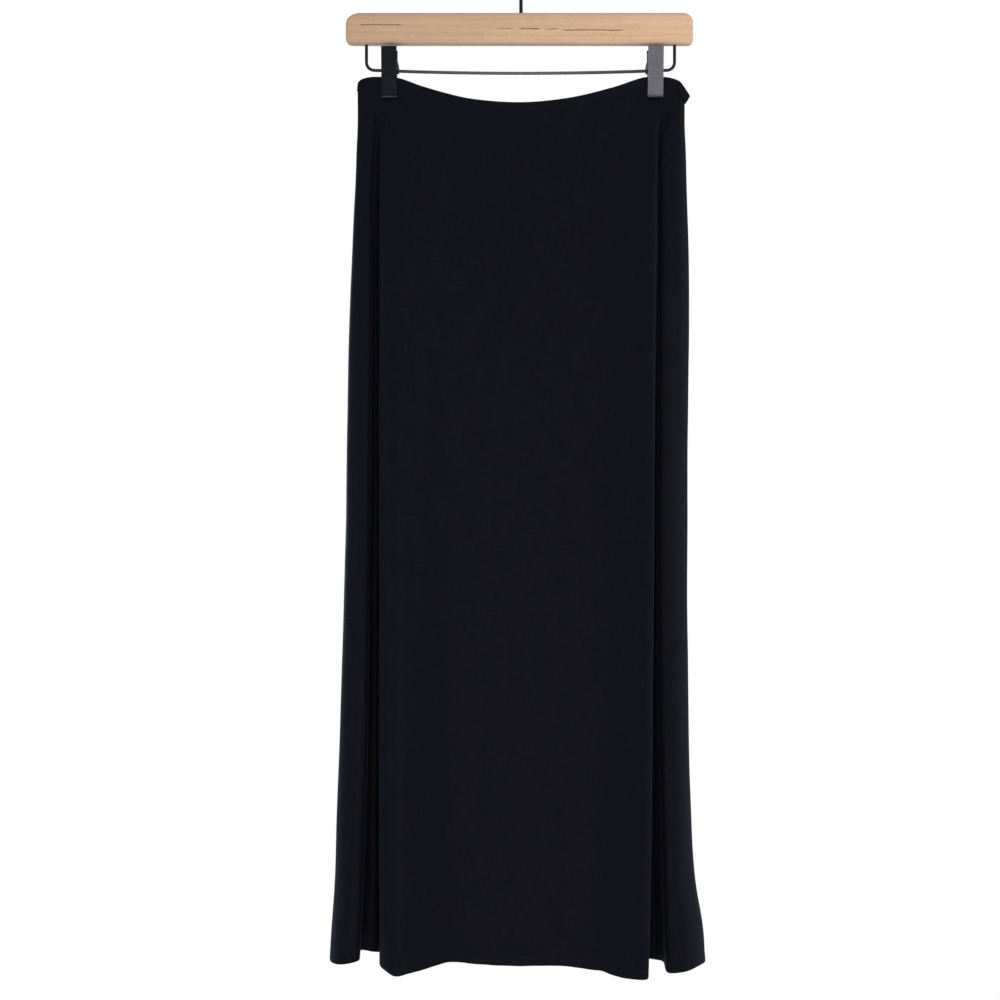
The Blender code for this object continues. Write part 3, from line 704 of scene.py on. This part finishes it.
def socketsFor(tree, values):
    # the named inputs that a user can change on the modifier
    tree.interface.new_socket("Geometry", in_out="INPUT", socket_type="NodeSocketGeometry")
    tree.interface.new_socket("Geometry", in_out="OUTPUT", socket_type="NodeSocketGeometry")
    for name, value in values.items():
        kind = "NodeSocketInt" if isinstance(value, int) else "NodeSocketFloat"
        socket = tree.interface.new_socket(name, in_out="INPUT", socket_type=kind)
        socket.default_value = value
    return addNode(tree, "NodeGroupInput").outputs


def tubeAlong(tree, curve, sides, radius):
    circle = {"Resolution": sides, "Radius": radius}
    ring = addNode(tree, "GeometryNodeCurvePrimitiveCircle", circle)
    inputs = {"Curve": curve, "Profile Curve": ring.outputs[0], "Fill Caps": True}
    return addNode(tree, "GeometryNodeCurveToMesh", inputs).outputs[0]


def closeTree(tree, geometry, material):
    smooth = addNode(tree, "GeometryNodeSetShadeSmooth", {0: geometry})
    real = addNode(tree, "GeometryNodeRealizeInstances", {0: smooth.outputs[0]})
    painted = addNode(tree, "GeometryNodeSetMaterial", {0: real.outputs[0], "Material": material})
    addNode(tree, "NodeGroupOutput", {0: painted.outputs[0]})


def vectorFrom(tree, x=0.0, y=0.0, z=0.0):
    return addNode(tree, "ShaderNodeCombineXYZ", {0: x, 1: y, 2: z}).outputs[0]


def stitchInputs(pitch):
    return {
        "Pitch": pitch, "Length": thread["stitch"], "Radius": thread["radius"],
        "Sink": thread["sink"], "Uneven": thread["uneven"], "Seed": thread["seed"],
    }


def stitchTree():
    tree = bpy.data.node_groups.new("stitchRow", "GeometryNodeTree")
    given = socketsFor(tree, stitchInputs(thread["hemPitch"]))
    spaced = {0: given["Geometry"], "Length": given["Pitch"]}
    points = addNode(tree, "GeometryNodeCurveToPoints", spaced, mode="LENGTH")
    half = times(tree, given["Length"], 0.5)
    sink = times(tree, given["Sink"], -1.0)
    bulge = mathNode(tree, "ADD", given["Sink"], given["Radius"])
    bent = addNode(tree, "GeometryNodeCurveQuadraticBezier", {
        "Resolution": 5,
        "Start": vectorFrom(tree, x=sink, z=times(tree, half, -1.0)),
        "Middle": vectorFrom(tree, x=bulge),
        "End": vectorFrom(tree, x=sink, z=half),
    })
    axes = {0: points.outputs["Tangent"], 1: points.outputs["Normal"]}
    facing = addNode(tree, "FunctionNodeAxesToRotation", axes, primary_axis="Z", secondary_axis="X")
    shorter = mathNode(tree, "SUBTRACT", 1.0, given["Uneven"])
    longer = mathNode(tree, "ADD", 1.0, given["Uneven"])
    lengths = {2: shorter, 3: longer, "Seed": given["Seed"]}
    size = addNode(tree, "FunctionNodeRandomValue", lengths, data_type="FLOAT")
    placed = addNode(tree, "GeometryNodeInstanceOnPoints", {
        "Points": points.outputs[0],
        "Instance": tubeAlong(tree, bent.outputs[0], 6, given["Radius"]),
        "Rotation": facing.outputs[0], "Scale": vectorFrom(tree, 1.0, 1.0, size.outputs[1]),
    })
    closeTree(tree, placed.outputs[0], blackThread)
    return tree


def pathCurve(name, points, cyclic):
    data = bpy.data.curves.new(name, "CURVE")
    assign(data, dimensions="3D", twist_mode="Z_UP")
    spline = data.splines.new("POLY")
    spline.points.add(len(points) - 1)
    spline.points.foreach_set("co", np.column_stack([points, np.ones(len(points))]).ravel())
    spline.use_cyclic_u = cyclic
    return addObject(name, data)


def grown(path, tree, name, values):
    # runs a tree on an object with the given inputs, and keeps the result as a plain mesh
    step = path.modifiers.new("grown", "NODES")
    step.node_group = tree
    for item in tree.interface.items_tree:
        if item.in_out == "INPUT" and item.name in values:
            step[item.identifier] = values[item.name]
    mesh = finishedMesh(path)
    bpy.data.objects.remove(path)
    mesh.name = name
    return addObject(name, mesh)


blackThread = threadMaterial()
stitchRow = stitchTree()


def stitches(name, line, cyclic, pitch):
    path = pathCurve(name + "Path", line, cyclic)
    return grown(path, stitchRow, name, stitchInputs(pitch))


def hemStitches(name, sheet):
    row = waistRow + len(shares) - cloth["hemRows"]  # just below the turned edge
    normal = normalsOf(sheet, closed=False)[row]
    line = sheet[row] + normal * (cloth["wall"] / 2 + cloth["threadOut"])
    clear = thread["clearOfSeams"]
    return stitches(name, line[clear:-clear], False, thread["hemPitch"])


hemStitchesFront = hemStitches("hemStitchesFront", frontSheet)
hemStitchesBack = hemStitches("hemStitchesBack", backSheet)
waistStitches = stitches("waistStitches", waistStitchLine, True, thread["waistPitch"])
print("stitches laid")


# Wooden bar

bar = {
    "left": -177.3 * mm,
    "right": 176.2 * mm,
    "top": -92.5 * mm,
    "bottom": -124.3 * mm,
    "depth": 12.0 * mm,
    "rounding": 3.0 * mm,
    "corners": {  # radii across and up
        "bottomLeft": (6 * mm, 6 * mm),
        "bottomRight": (5 * mm, 5 * mm),
        "topRight": (10 * mm, 10 * mm),
        "topLeft": (15 * mm, 11 * mm),
    },
    "paleWood": (0.462, 0.290, 0.163),
    "darkWood": (0.314, 0.188, 0.102),
    "streak": (0.050, 0.024, 0.012),
    "darkSpot": (0.15, 0.095, 0.06),
    "topEdgeShade": (0.27, 0.205, 0.165),  # painted shade along the bar's top edge, where its rounding faces up away from the light
    "topEdgeShadeDown": 2.4 * mm,
    "paintedRightLight": 0.33,  # painted light: how much lighter its right end is, where more light falls from the right
}
woodStreaks = (
    # from x, to x, z, thickness, strength, in mm
    (-162, -120, -105.2, 0.42, 0.90),
    (-22, -8, -109.3, 0.42, 0.70),
    (0, 20, -109.4, 0.48, 0.95),
    (26, 38, -109.6, 0.42, 0.80),
    (44, 104, -110.6, 0.48, 1.00),
)
# darker spots on the bar's lower edge, above each clip
darkEdgeSpots = (
    # middle x, half width, z, height, strength, in mm
    (-130, 9, -124.2, 1.8, 0.75),
    (139, 17, -124.0, 1.8, 0.60),
)


def windowNode(tree, value, low, high, soft):
    rise, fall = (
        between(tree, value, 0.0, 1.0, edge - soft, edge + soft, interpolation_type="SMOOTHSTEP")
        for edge in (low, high)
    )
    return mathNode(tree, "SUBTRACT", rise, fall)


def bellNode(tree, value, middle, width):
    away = mathNode(tree, "DIVIDE", mathNode(tree, "SUBTRACT", value, middle), width)
    return mathNode(tree, "EXPONENT", times(tree, away, away, -1.0))


def woodMaterial():
    made, tree, shader = newMaterial("paleWood", Specular_IOR_Level=0.32)
    place = placeIn(tree)
    x, y, z = addNode(tree, "ShaderNodeSeparateXYZ", {0: place}).outputs
    frontFace = mathNode(tree, "LESS_THAN", y, 0.0)  # the streaks are on the front only
    figure = noiseNode(tree, place, (9.0, 60.0, 60.0), 3.0, 0.55)
    rings = addNode(tree, "ShaderNodeTexWave", {
        "Vector": stretched(tree, place, (1.6, 26.0, 44.0)), "Scale": 1.0, "Distortion": 5.0,
        "Detail": 2.0, "Detail Scale": 1.4,
    }, bands_direction="Z").outputs["Fac"]
    fibres = noiseNode(tree, place, (45.0, 2400.0, 2400.0), 4.0, 0.6)
    flecks = noiseNode(tree, place, (330.0, 900.0, 900.0), 3.0, 0.65)
    tone = addScaled(tree, rings, 0.08, times(tree, figure, 0.30))
    tone = addScaled(tree, fibres, 0.32, tone)
    tone = addScaled(tree, flecks, 0.42, tone)
    colour = rampNode(tree, tone, ((0.36, bar["darkWood"]), (0.72, bar["paleWood"])))
    wobble = noiseNode(tree, place, (70.0, 20.0, 20.0), 2.0)
    wavyZ = addScaled(tree, wobble, 0.0016, mathNode(tree, "SUBTRACT", z, 0.0008))
    broken = noiseNode(tree, place, (240.0, 400.0, 400.0), 3.0)
    for low, high, level, thick, strength in woodStreaks:
        along = windowNode(tree, x, low * mm, high * mm, 2.5 * mm)
        line = bellNode(tree, wavyZ, level * mm, thick * mm)
        patchy = between(tree, broken, 0.55 * strength, 1.75 * strength)
        mask = times(tree, along, line, frontFace, patchy)
        colour = mixColour(tree, mask, colour, bar["streak"])
    # darker spots on the lower edge above the clips
    for middle, half, level, tall, strength in darkEdgeSpots:
        spot = bellNode(tree, x, middle * mm, half * mm), bellNode(tree, z, level * mm, tall * mm)
        mask = times(tree, *spot, between(tree, broken, 0.5 * strength, 1.2 * strength))
        colour = mixColour(tree, mask, colour, bar["darkSpot"])
    # painted shade: a greyer band along the top edge's rounding, which faces up away from the light
    level = bar["top"] - bar["topEdgeShadeDown"]
    mask = times(tree, bellNode(tree, wavyZ, level, 1.5 * mm), between(tree, broken, 0.35, 0.95))
    colour = mixColour(tree, mask, colour, bar["topEdgeShade"])
    # painted light: the wood's colour is made lighter towards the right end, where more light falls
    leftTone, rightTone = 1.0 - bar["paintedRightLight"] / 3, 1.0 + bar["paintedRightLight"] * 2 / 3
    paintedRightLight = between(tree, x, leftTone, rightTone, bar["left"], bar["right"])
    both = {0: colour, 1: vectorFrom(tree, paintedRightLight, paintedRightLight, paintedRightLight)}
    colour = addNode(tree, "ShaderNodeVectorMath", both, operation="MULTIPLY").outputs[0]
    rough = between(tree, fibres, 0.48, 0.66)
    return closeMaterial(made, shader, colour, rough, bumpNode(tree, fibres, 0.25, 0.00012))


def arc(x, z, radii, start, end, steps):
    # points along an arc from one angle to another, with its radii across and up
    angles = [math.radians(start + (end - start) * k / steps) for k in range(steps + 1)]
    return [(x + radii[0] * math.cos(a), z + radii[1] * math.sin(a)) for a in angles]


def woodenBar():
    outline = []
    for name, x, toRight, z, upward, start in (
        ("bottomLeft", bar["left"], 1, bar["bottom"], 1, 180),
        ("bottomRight", bar["right"], -1, bar["bottom"], 1, 270),
        ("topRight", bar["right"], -1, bar["top"], -1, 0),
        ("topLeft", bar["left"], 1, bar["top"], -1, 90),
    ):
        radii = bar["corners"][name]
        outline += arc(x + toRight * radii[0], z + upward * radii[1], radii, start, start + 90, 14)
    bm = bmesh.new()
    half = bar["depth"] / 2
    face = bm.faces.new([bm.verts.new((x, -half, z)) for x, z in outline])
    grownFaces = bmesh.ops.extrude_face_region(bm, geom=[face])
    moved = [item for item in grownFaces["geom"] if isinstance(item, bmesh.types.BMVert)]
    bmesh.ops.translate(bm, verts=moved, vec=(0, bar["depth"], 0))
    rims = [edge for edge in bm.edges if abs(edge.verts[0].co.y - edge.verts[1].co.y) < half]
    bmesh.ops.bevel(bm, geom=rims, offset=bar["rounding"], segments=6, profile=0.5, affect="EDGES")
    bmesh.ops.recalc_face_normals(bm, faces=bm.faces)
    return pieceFrom(bm, "hangerBar", paleWood)


def pieceFrom(bm, name, material, sharp=40):
    mesh = bpy.data.meshes.new(name)
    bm.to_mesh(mesh)
    bm.free()
    mesh.materials.append(material)
    mesh.shade_smooth()
    mesh.set_sharp_from_angle(angle=math.radians(sharp))
    return addObject(name, mesh)


paleWood = woodMaterial()
hangerBar = woodenBar()
print("bar shaped")


# Hook and trouser wire

hook = {
    "thickness": 3.6 * mm,
    "innerRadius": 20 * mm,
    "neckX": 1.0 * mm,
    "neckTop": -62 * mm,
    "tipAngle": 202,
    "intoWood": 4 * mm,
}
rail = {
    "thickness": 3.2 * mm,
    "left": -156.6 * mm,
    "right": 157.6 * mm,
    "middleZ": -153.0 * mm,
    "endZ": -149.6 * mm,
    "bend": 8 * mm,
    "intoWood": 3 * mm,
    "paintedHighlight": (0.082, 0.080, 0.083),  # painted highlight: a lighter grey along its middle, where it catches the light
    "paintedHighlightReach": 112 * mm,
}


lacquer = {
    "shade": (0.003, 0.0024, 0.0034),
    "lighter": (0.007, 0.006, 0.0078),
    "speck": (0.02, 0.0185, 0.019),
}


def lacquerMaterial():
    made, tree, shader = newMaterial("blackLacquer", Specular_IOR_Level=0.12)
    place = placeIn(tree)
    specks = noiseNode(tree, place, 420.0, 4.0, 0.65)
    shades = (0.35, lacquer["shade"]), (0.72, lacquer["lighter"]), (0.80, lacquer["speck"])
    colour = rampNode(tree, specks, shades)
    x, y, z = addNode(tree, "ShaderNodeSeparateXYZ", {0: place}).outputs
    # painted highlight: the rail's middle is laid over with a lighter grey
    onRail = bellNode(tree, z, rail["middleZ"], 9 * mm)
    inMiddle = bellNode(tree, x, 2 * mm, rail["paintedHighlightReach"])
    paintedHighlight = times(tree, inMiddle, onRail, between(tree, specks, 0.75, 1.15))
    colour = mixColour(tree, paintedHighlight, colour, rail["paintedHighlight"])
    rough = between(tree, specks, 0.30, 0.50)
    relief = bumpNode(tree, noiseNode(tree, place, 700.0, 3.0), 0.15, 0.00008)
    return closeMaterial(made, shader, colour, rough, relief)


def arcPoints(x, z, radius, start, end, steps):
    line = arc(x, z, (radius, radius), start, end, steps)
    return [Vector((across, 0, upward)) for across, upward in line]


def roundWire(name, points, thickness, material, tipped=False):
    # a mesh tube along the points; a tip is drawn in to a dome
    sides = 16
    radii = [thickness / 2] * len(points)
    if tipped:
        ahead = (points[-1] - points[-2]).normalized() * thickness / 2
        last = points[-1]
        for degrees in (20, 40, 58, 74, 86):
            angle = math.radians(degrees)
            points = points + [last + ahead * math.sin(angle)]
            radii.append(thickness / 2 * math.cos(angle))
    bm = bmesh.new()
    rings = []
    for k, point in enumerate(points):
        before, after = points[max(k - 1, 0)], points[min(k + 1, len(points) - 1)]
        along = (after - before).normalized()
        side = Vector((0, 1, 0))
        top = along.cross(side)
        ring = []
        for j in range(sides):
            angle = 2 * math.pi * j / sides
            outward = side * math.cos(angle) + top * math.sin(angle)
            ring.append(bm.verts.new(point + outward * radii[k]))
        rings.append(ring)
    for ring, following in zip(rings, rings[1:]):
        for j in range(sides):
            bm.faces.new((ring[j], ring[(j + 1) % sides], following[(j + 1) % sides], following[j]))
    bm.faces.new(rings[0])
    bm.faces.new(rings[-1][::-1])
    bmesh.ops.recalc_face_normals(bm, faces=bm.faces)
    return pieceFrom(bm, name, material)


def hangerHook():
    radius = hook["innerRadius"] + hook["thickness"] / 2
    centreZ = -hook["innerRadius"]
    foot = Vector((hook["neckX"], 0, bar["top"] - hook["intoWood"]))
    bend = Vector((hook["neckX"], 0, hook["neckTop"]))
    side = Vector((radius, 0, centreZ))
    points = [foot.lerp(bend, k / 6) for k in range(6)]
    pull = Vector((0, 0, (side.z - bend.z) / 2))
    for k in range(18):
        t = k / 18
        near = bend * (1 - t) ** 3 + (bend + pull) * 3 * t * (1 - t) ** 2
        points.append(near + (side - pull) * 3 * t * t * (1 - t) + side * t ** 3)
    points += arcPoints(0, centreZ, radius, 0, hook["tipAngle"], 40)
    return roundWire("hangerHook", points, hook["thickness"], blackLacquer, tipped=True)


def railHeight(x):
    share = abs(x) / rail["right"]
    return rail["middleZ"] + (rail["endZ"] - rail["middleZ"]) * share ** 2


def trouserRail():
    top = bar["bottom"] + rail["intoWood"]
    low, high = rail["left"] + rail["bend"], rail["right"] - rail["bend"]
    lowBend, highBend = railHeight(low) + rail["bend"], railHeight(high) + rail["bend"]
    points = [Vector((rail["left"], 0, z)) for z in (top, (top + lowBend) / 2)]
    points += arcPoints(low, lowBend, rail["bend"], 180, 270, 10)
    for k in range(1, 40):
        x = low + (high - low) * k / 40
        points.append(Vector((x, 0, railHeight(x))))
    points += arcPoints(high, highBend, rail["bend"], -90, 0, 10)
    points += [Vector((rail["right"], 0, z)) for z in ((top + highBend) / 2, top)]
    return roundWire("trouserRail", points, rail["thickness"], blackLacquer)


blackLacquer = lacquerMaterial()
hangerHookPiece = hangerHook()
trouserRailPiece = trouserRail()
print("hook and rail bent")


# Clips

clip = {
    "x": {"left": -133.2 * mm, "right": 137.9 * mm},
    "weld": 0.02 * mm,
    "edge": 0.16 * mm,  # how far the stamped plates' edges are broken
    "plating": (0.0285, 0.0287, 0.0318),
    "roughness": 0.17,
}
coil = {
    "turns": 7.0,
    "innerLength": 10.6 * mm,
    "radius": 2.8 * mm,
    "wire": 0.62 * mm,  # radius of the spring's wire
    "legRise": 8.5 * mm,
    "legSpread": 5.1 * mm,
    "darkSteel": (0.16, 0.16, 0.17),
    "lightSteel": (0.27, 0.27, 0.28),
}


def platingMaterial():
    made, tree, shader = newMaterial("blackNickel", Metallic=1.0)
    place = placeIn(tree)
    brushed = noiseNode(tree, place, (2600.0, 2600.0, 60.0), 3.0, 0.6)
    cloudy = noiseNode(tree, place, 190.0, 3.0)
    shade = addScaled(tree, brushed, 0.5, times(tree, cloudy, 0.5))
    dark, light = scaled(clip["plating"], 0.86), scaled(clip["plating"], 1.14)
    colour = rampNode(tree, shade, ((0.3, dark), (0.7, light)))
    rough = between(tree, brushed, clip["roughness"] - 0.03, clip["roughness"] + 0.03)
    return closeMaterial(made, shader, colour, rough, bumpNode(tree, brushed, 0.12, 0.00006))


def steelMaterial():
    made, tree, shader = newMaterial("springSteel", Metallic=1.0)
    place = placeIn(tree)
    drawn = noiseNode(tree, place, (400.0, 2200.0, 2200.0), 3.0)
    colour = rampNode(tree, drawn, ((0.3, coil["darkSteel"]), (0.7, coil["lightSteel"])))
    return closeMaterial(made, shader, colour, between(tree, drawn, 0.22, 0.38))


def stampedPlate(nodeName, name):
    # the node's own form with its edges broken, as a stamped plate has them
    bm = bmesh.new()
    bm.from_mesh(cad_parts[nodeName].data)
    bmesh.ops.remove_doubles(bm, verts=bm.verts, dist=clip["weld"])
    bmesh.ops.dissolve_limit(bm, angle_limit=math.radians(1.5), verts=bm.verts, edges=bm.edges)
    bmesh.ops.recalc_face_normals(bm, faces=bm.faces)
    piece = pieceFrom(bm, name, blackNickel, sharp=180)
    edges = piece.modifiers.new("brokenEdges", "BEVEL")
    sharpest = math.radians(25)
    assign(edges, width=clip["edge"], segments=2, limit_method="ANGLE", angle_limit=sharpest)
    flats = piece.modifiers.new("flatFaces", "WEIGHTED_NORMAL")
    flats.keep_sharp = True
    mesh = finishedMesh(piece)
    piece.modifiers.clear()
    piece.data = mesh
    return piece


def coilInputs(x):
    return {
        "Turns": coil["turns"], "Length": coil["innerLength"] - 2 * coil["wire"],
        "Radius": coil["radius"], "Wire": coil["wire"], "Rise": coil["legRise"],
        "Spread": coil["legSpread"], "X": x, "Z": railHeight(x),
    }


def coilTree():
    tree = bpy.data.node_groups.new("torsionSpring", "GeometryNodeTree")
    given = socketsFor(tree, coilInputs(0.0))
    half = times(tree, given["Length"], 0.5)
    spiral = addNode(tree, "GeometryNodeCurveSpiral", {
        "Resolution": 20, "Rotations": given["Turns"], "Start Radius": given["Radius"],
        "End Radius": given["Radius"], "Height": given["Length"],
    })
    # the coil runs along X, with a leg from each of its ends up along the plates
    lying = addNode(tree, "GeometryNodeTransform", {
        "Geometry": spiral.outputs[0],
        "Translation": vectorFrom(tree, x=times(tree, half, -1.0)),
        "Rotation": Euler((0.0, math.radians(90), 0.0)),
    })
    joined = addNode(tree, "GeometryNodeJoinGeometry")
    tree.links.new(lying.outputs[0], joined.inputs[0])
    for side in (-1.0, 1.0):
        x = times(tree, half, side)
        leg = addNode(tree, "GeometryNodeCurvePrimitiveLine", {
            "Start": vectorFrom(tree, x, times(tree, given["Radius"], side), 0.0),
            "End": vectorFrom(tree, x, times(tree, given["Spread"], side), given["Rise"]),
        })
        tree.links.new(leg.outputs[0], joined.inputs[0])
    moved = addNode(tree, "GeometryNodeTransform", {
        "Geometry": tubeAlong(tree, joined.outputs[0], 8, given["Wire"]),
        "Translation": vectorFrom(tree, given["X"], 0.0, given["Z"]),
    })
    closeTree(tree, moved.outputs[0], springSteel)
    return tree


blackNickel = platingMaterial()
springSteel = steelMaterial()
torsionSpring = coilTree()
clipPieces = {}
for side, clipX in clip["x"].items():
    label = side.capitalize()
    for face in ("front", "back"):
        node = "clip_%s_%s" % (side, face)
        clipPieces[node] = stampedPlate(node, "clip" + label + face.capitalize())
    start = pathCurve("spring" + label + "Path", np.zeros((2, 3)), False)
    spring = grown(start, torsionSpring, "clip" + label + "Spring", coilInputs(clipX))
    clipPieces["clip_%s_spring" % side] = spring
print("clips pressed")


# Each piece hangs from the root in its node's place, and the node is hidden

for piece, node, slotName in (
    (skirtFront, "skirt_front", "knit"),
    (skirtBack, "skirt_back", "knit"),
    (waistCasing, "waistband", "casing"),
    (hangerBar, "hanger_bar", "wood"),
    (hangerHookPiece, "hanger_hook", "black_wire"),
    (trouserRailPiece, "trouser_wire", "black_wire"),
):
    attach(piece, "root")
    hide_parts(node)
for node, piece in clipPieces.items():
    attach(piece, "root")
    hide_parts(node)
for piece in (hemStitchesFront, hemStitchesBack, waistStitches):
    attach(piece, "root")


# Camera, light and floor

studio = {
    "cameraPlace": (-0.0204, -1.6, -0.5882),
    "viewWidth": 1.02,  # what the square picture takes in at the skirt's plane
    "sensor": 36.0,
    "around": 0.45,  # light from all sides
    "aroundTint": (0.80, 0.87, 1.0, 1.0),
    "floorZ": -1.36,
    "floorRadius": 0.7,
    "floorDark": (0.84, 0.80, 0.745),
    "floorLight": (0.87, 0.83, 0.775),
}
softboxes = (
    # name, place, aimed at, width, height, power, tint
    ("keySoftbox", (0.72, -2.55, -0.04), (0.0, 0.0, -0.50), 1.1, 1.05, 20.5, (1.0, 0.97, 0.96)),
    ("frontSoftbox", (0.0, -2.30, -1.25), (0.0, 0.0, -0.72), 0.8, 0.5, 25.0, (1.0, 0.95, 0.97)),
    ("leftSoftbox", (-1.75, -1.20, -0.55), (0.0, 0.0, -0.60), 0.9, 1.8, 29.0, (0.63, 0.77, 1.0)),
    ("edgeSoftbox", (1.60, -0.25, -0.45), (0.12, 0.0, -0.60), 0.7, 2.0, 25.0, (0.70, 0.82, 1.0)),
    ("topSoftbox", (-0.10, -0.95, 1.15), (0.0, 0.0, -0.20), 1.0, 0.5, 2.5, (0.95, 0.97, 1.0)),
    ("lipSoftbox", (0.45, -1.60, 0.85), (0.14, 0.0, -0.18), 0.5, 0.75, 5.0, (1.0, 0.98, 0.98)),
    ("backSoftbox", (-0.60, 2.30, -0.20), (0.0, 0.0, -0.60), 1.6, 1.4, 30.0, (1.0, 0.98, 0.97)),
)


def setWorld():
    world = bpy.data.worlds.new("studio")
    bpy.context.scene.world = world
    world.use_nodes = True
    tree = world.node_tree
    seen = addNode(tree, "ShaderNodeBackground", {"Color": (1.0, 1.0, 1.0, 1.0), "Strength": 1.0})
    around = tree.nodes["Background"]
    around.inputs["Color"].default_value = studio["aroundTint"]
    around.inputs["Strength"].default_value = studio["around"]
    path = addNode(tree, "ShaderNodeLightPath")
    mix = addNode(tree, "ShaderNodeMixShader", {
        0: path.outputs["Is Camera Ray"], 1: around.outputs[0], 2: seen.outputs[0],
    })
    tree.links.new(mix.outputs[0], tree.nodes["World Output"].inputs["Surface"])


def addLight(name, place, aim, width, height, power, tint):
    data = bpy.data.lights.new(name, "AREA")
    assign(data, shape="RECTANGLE", size=width, size_y=height, energy=power, color=tint)
    facing = (Vector(aim) - Vector(place)).to_track_quat("-Z", "Y").to_euler()
    assign(addObject(name, data), location=place, rotation_euler=facing, visible_camera=False)


def addFloor():
    bm = bmesh.new()
    bmesh.ops.create_circle(bm, cap_ends=True, segments=128, radius=studio["floorRadius"])
    bmesh.ops.translate(bm, verts=bm.verts, vec=(0, 0, studio["floorZ"]))
    made, tree, shader = newMaterial("paleFloor", Roughness=0.7)
    shades = (0.2, studio["floorDark"]), (0.8, studio["floorLight"])
    colour = rampNode(tree, noiseNode(tree, placeIn(tree), 6.0, 3.0), shades)
    floor = pieceFrom(bm, "floor", closeMaterial(made, shader, colour))


def addCamera():
    data = bpy.data.cameras.new("photoView")
    lens = studio["sensor"] * -studio["cameraPlace"][1] / studio["viewWidth"]
    assign(data, sensor_width=studio["sensor"], lens=lens, clip_start=0.01)
    camera = addObject("photoView", data)
    assign(camera, location=studio["cameraPlace"], rotation_euler=(math.radians(90), 0, 0))
    bpy.context.scene.camera = camera


setWorld()
for softbox in softboxes:
    addLight(*softbox)
addFloor()
addCamera()
bpy.context.scene.view_settings.view_transform = "Standard"
print("studio ready")
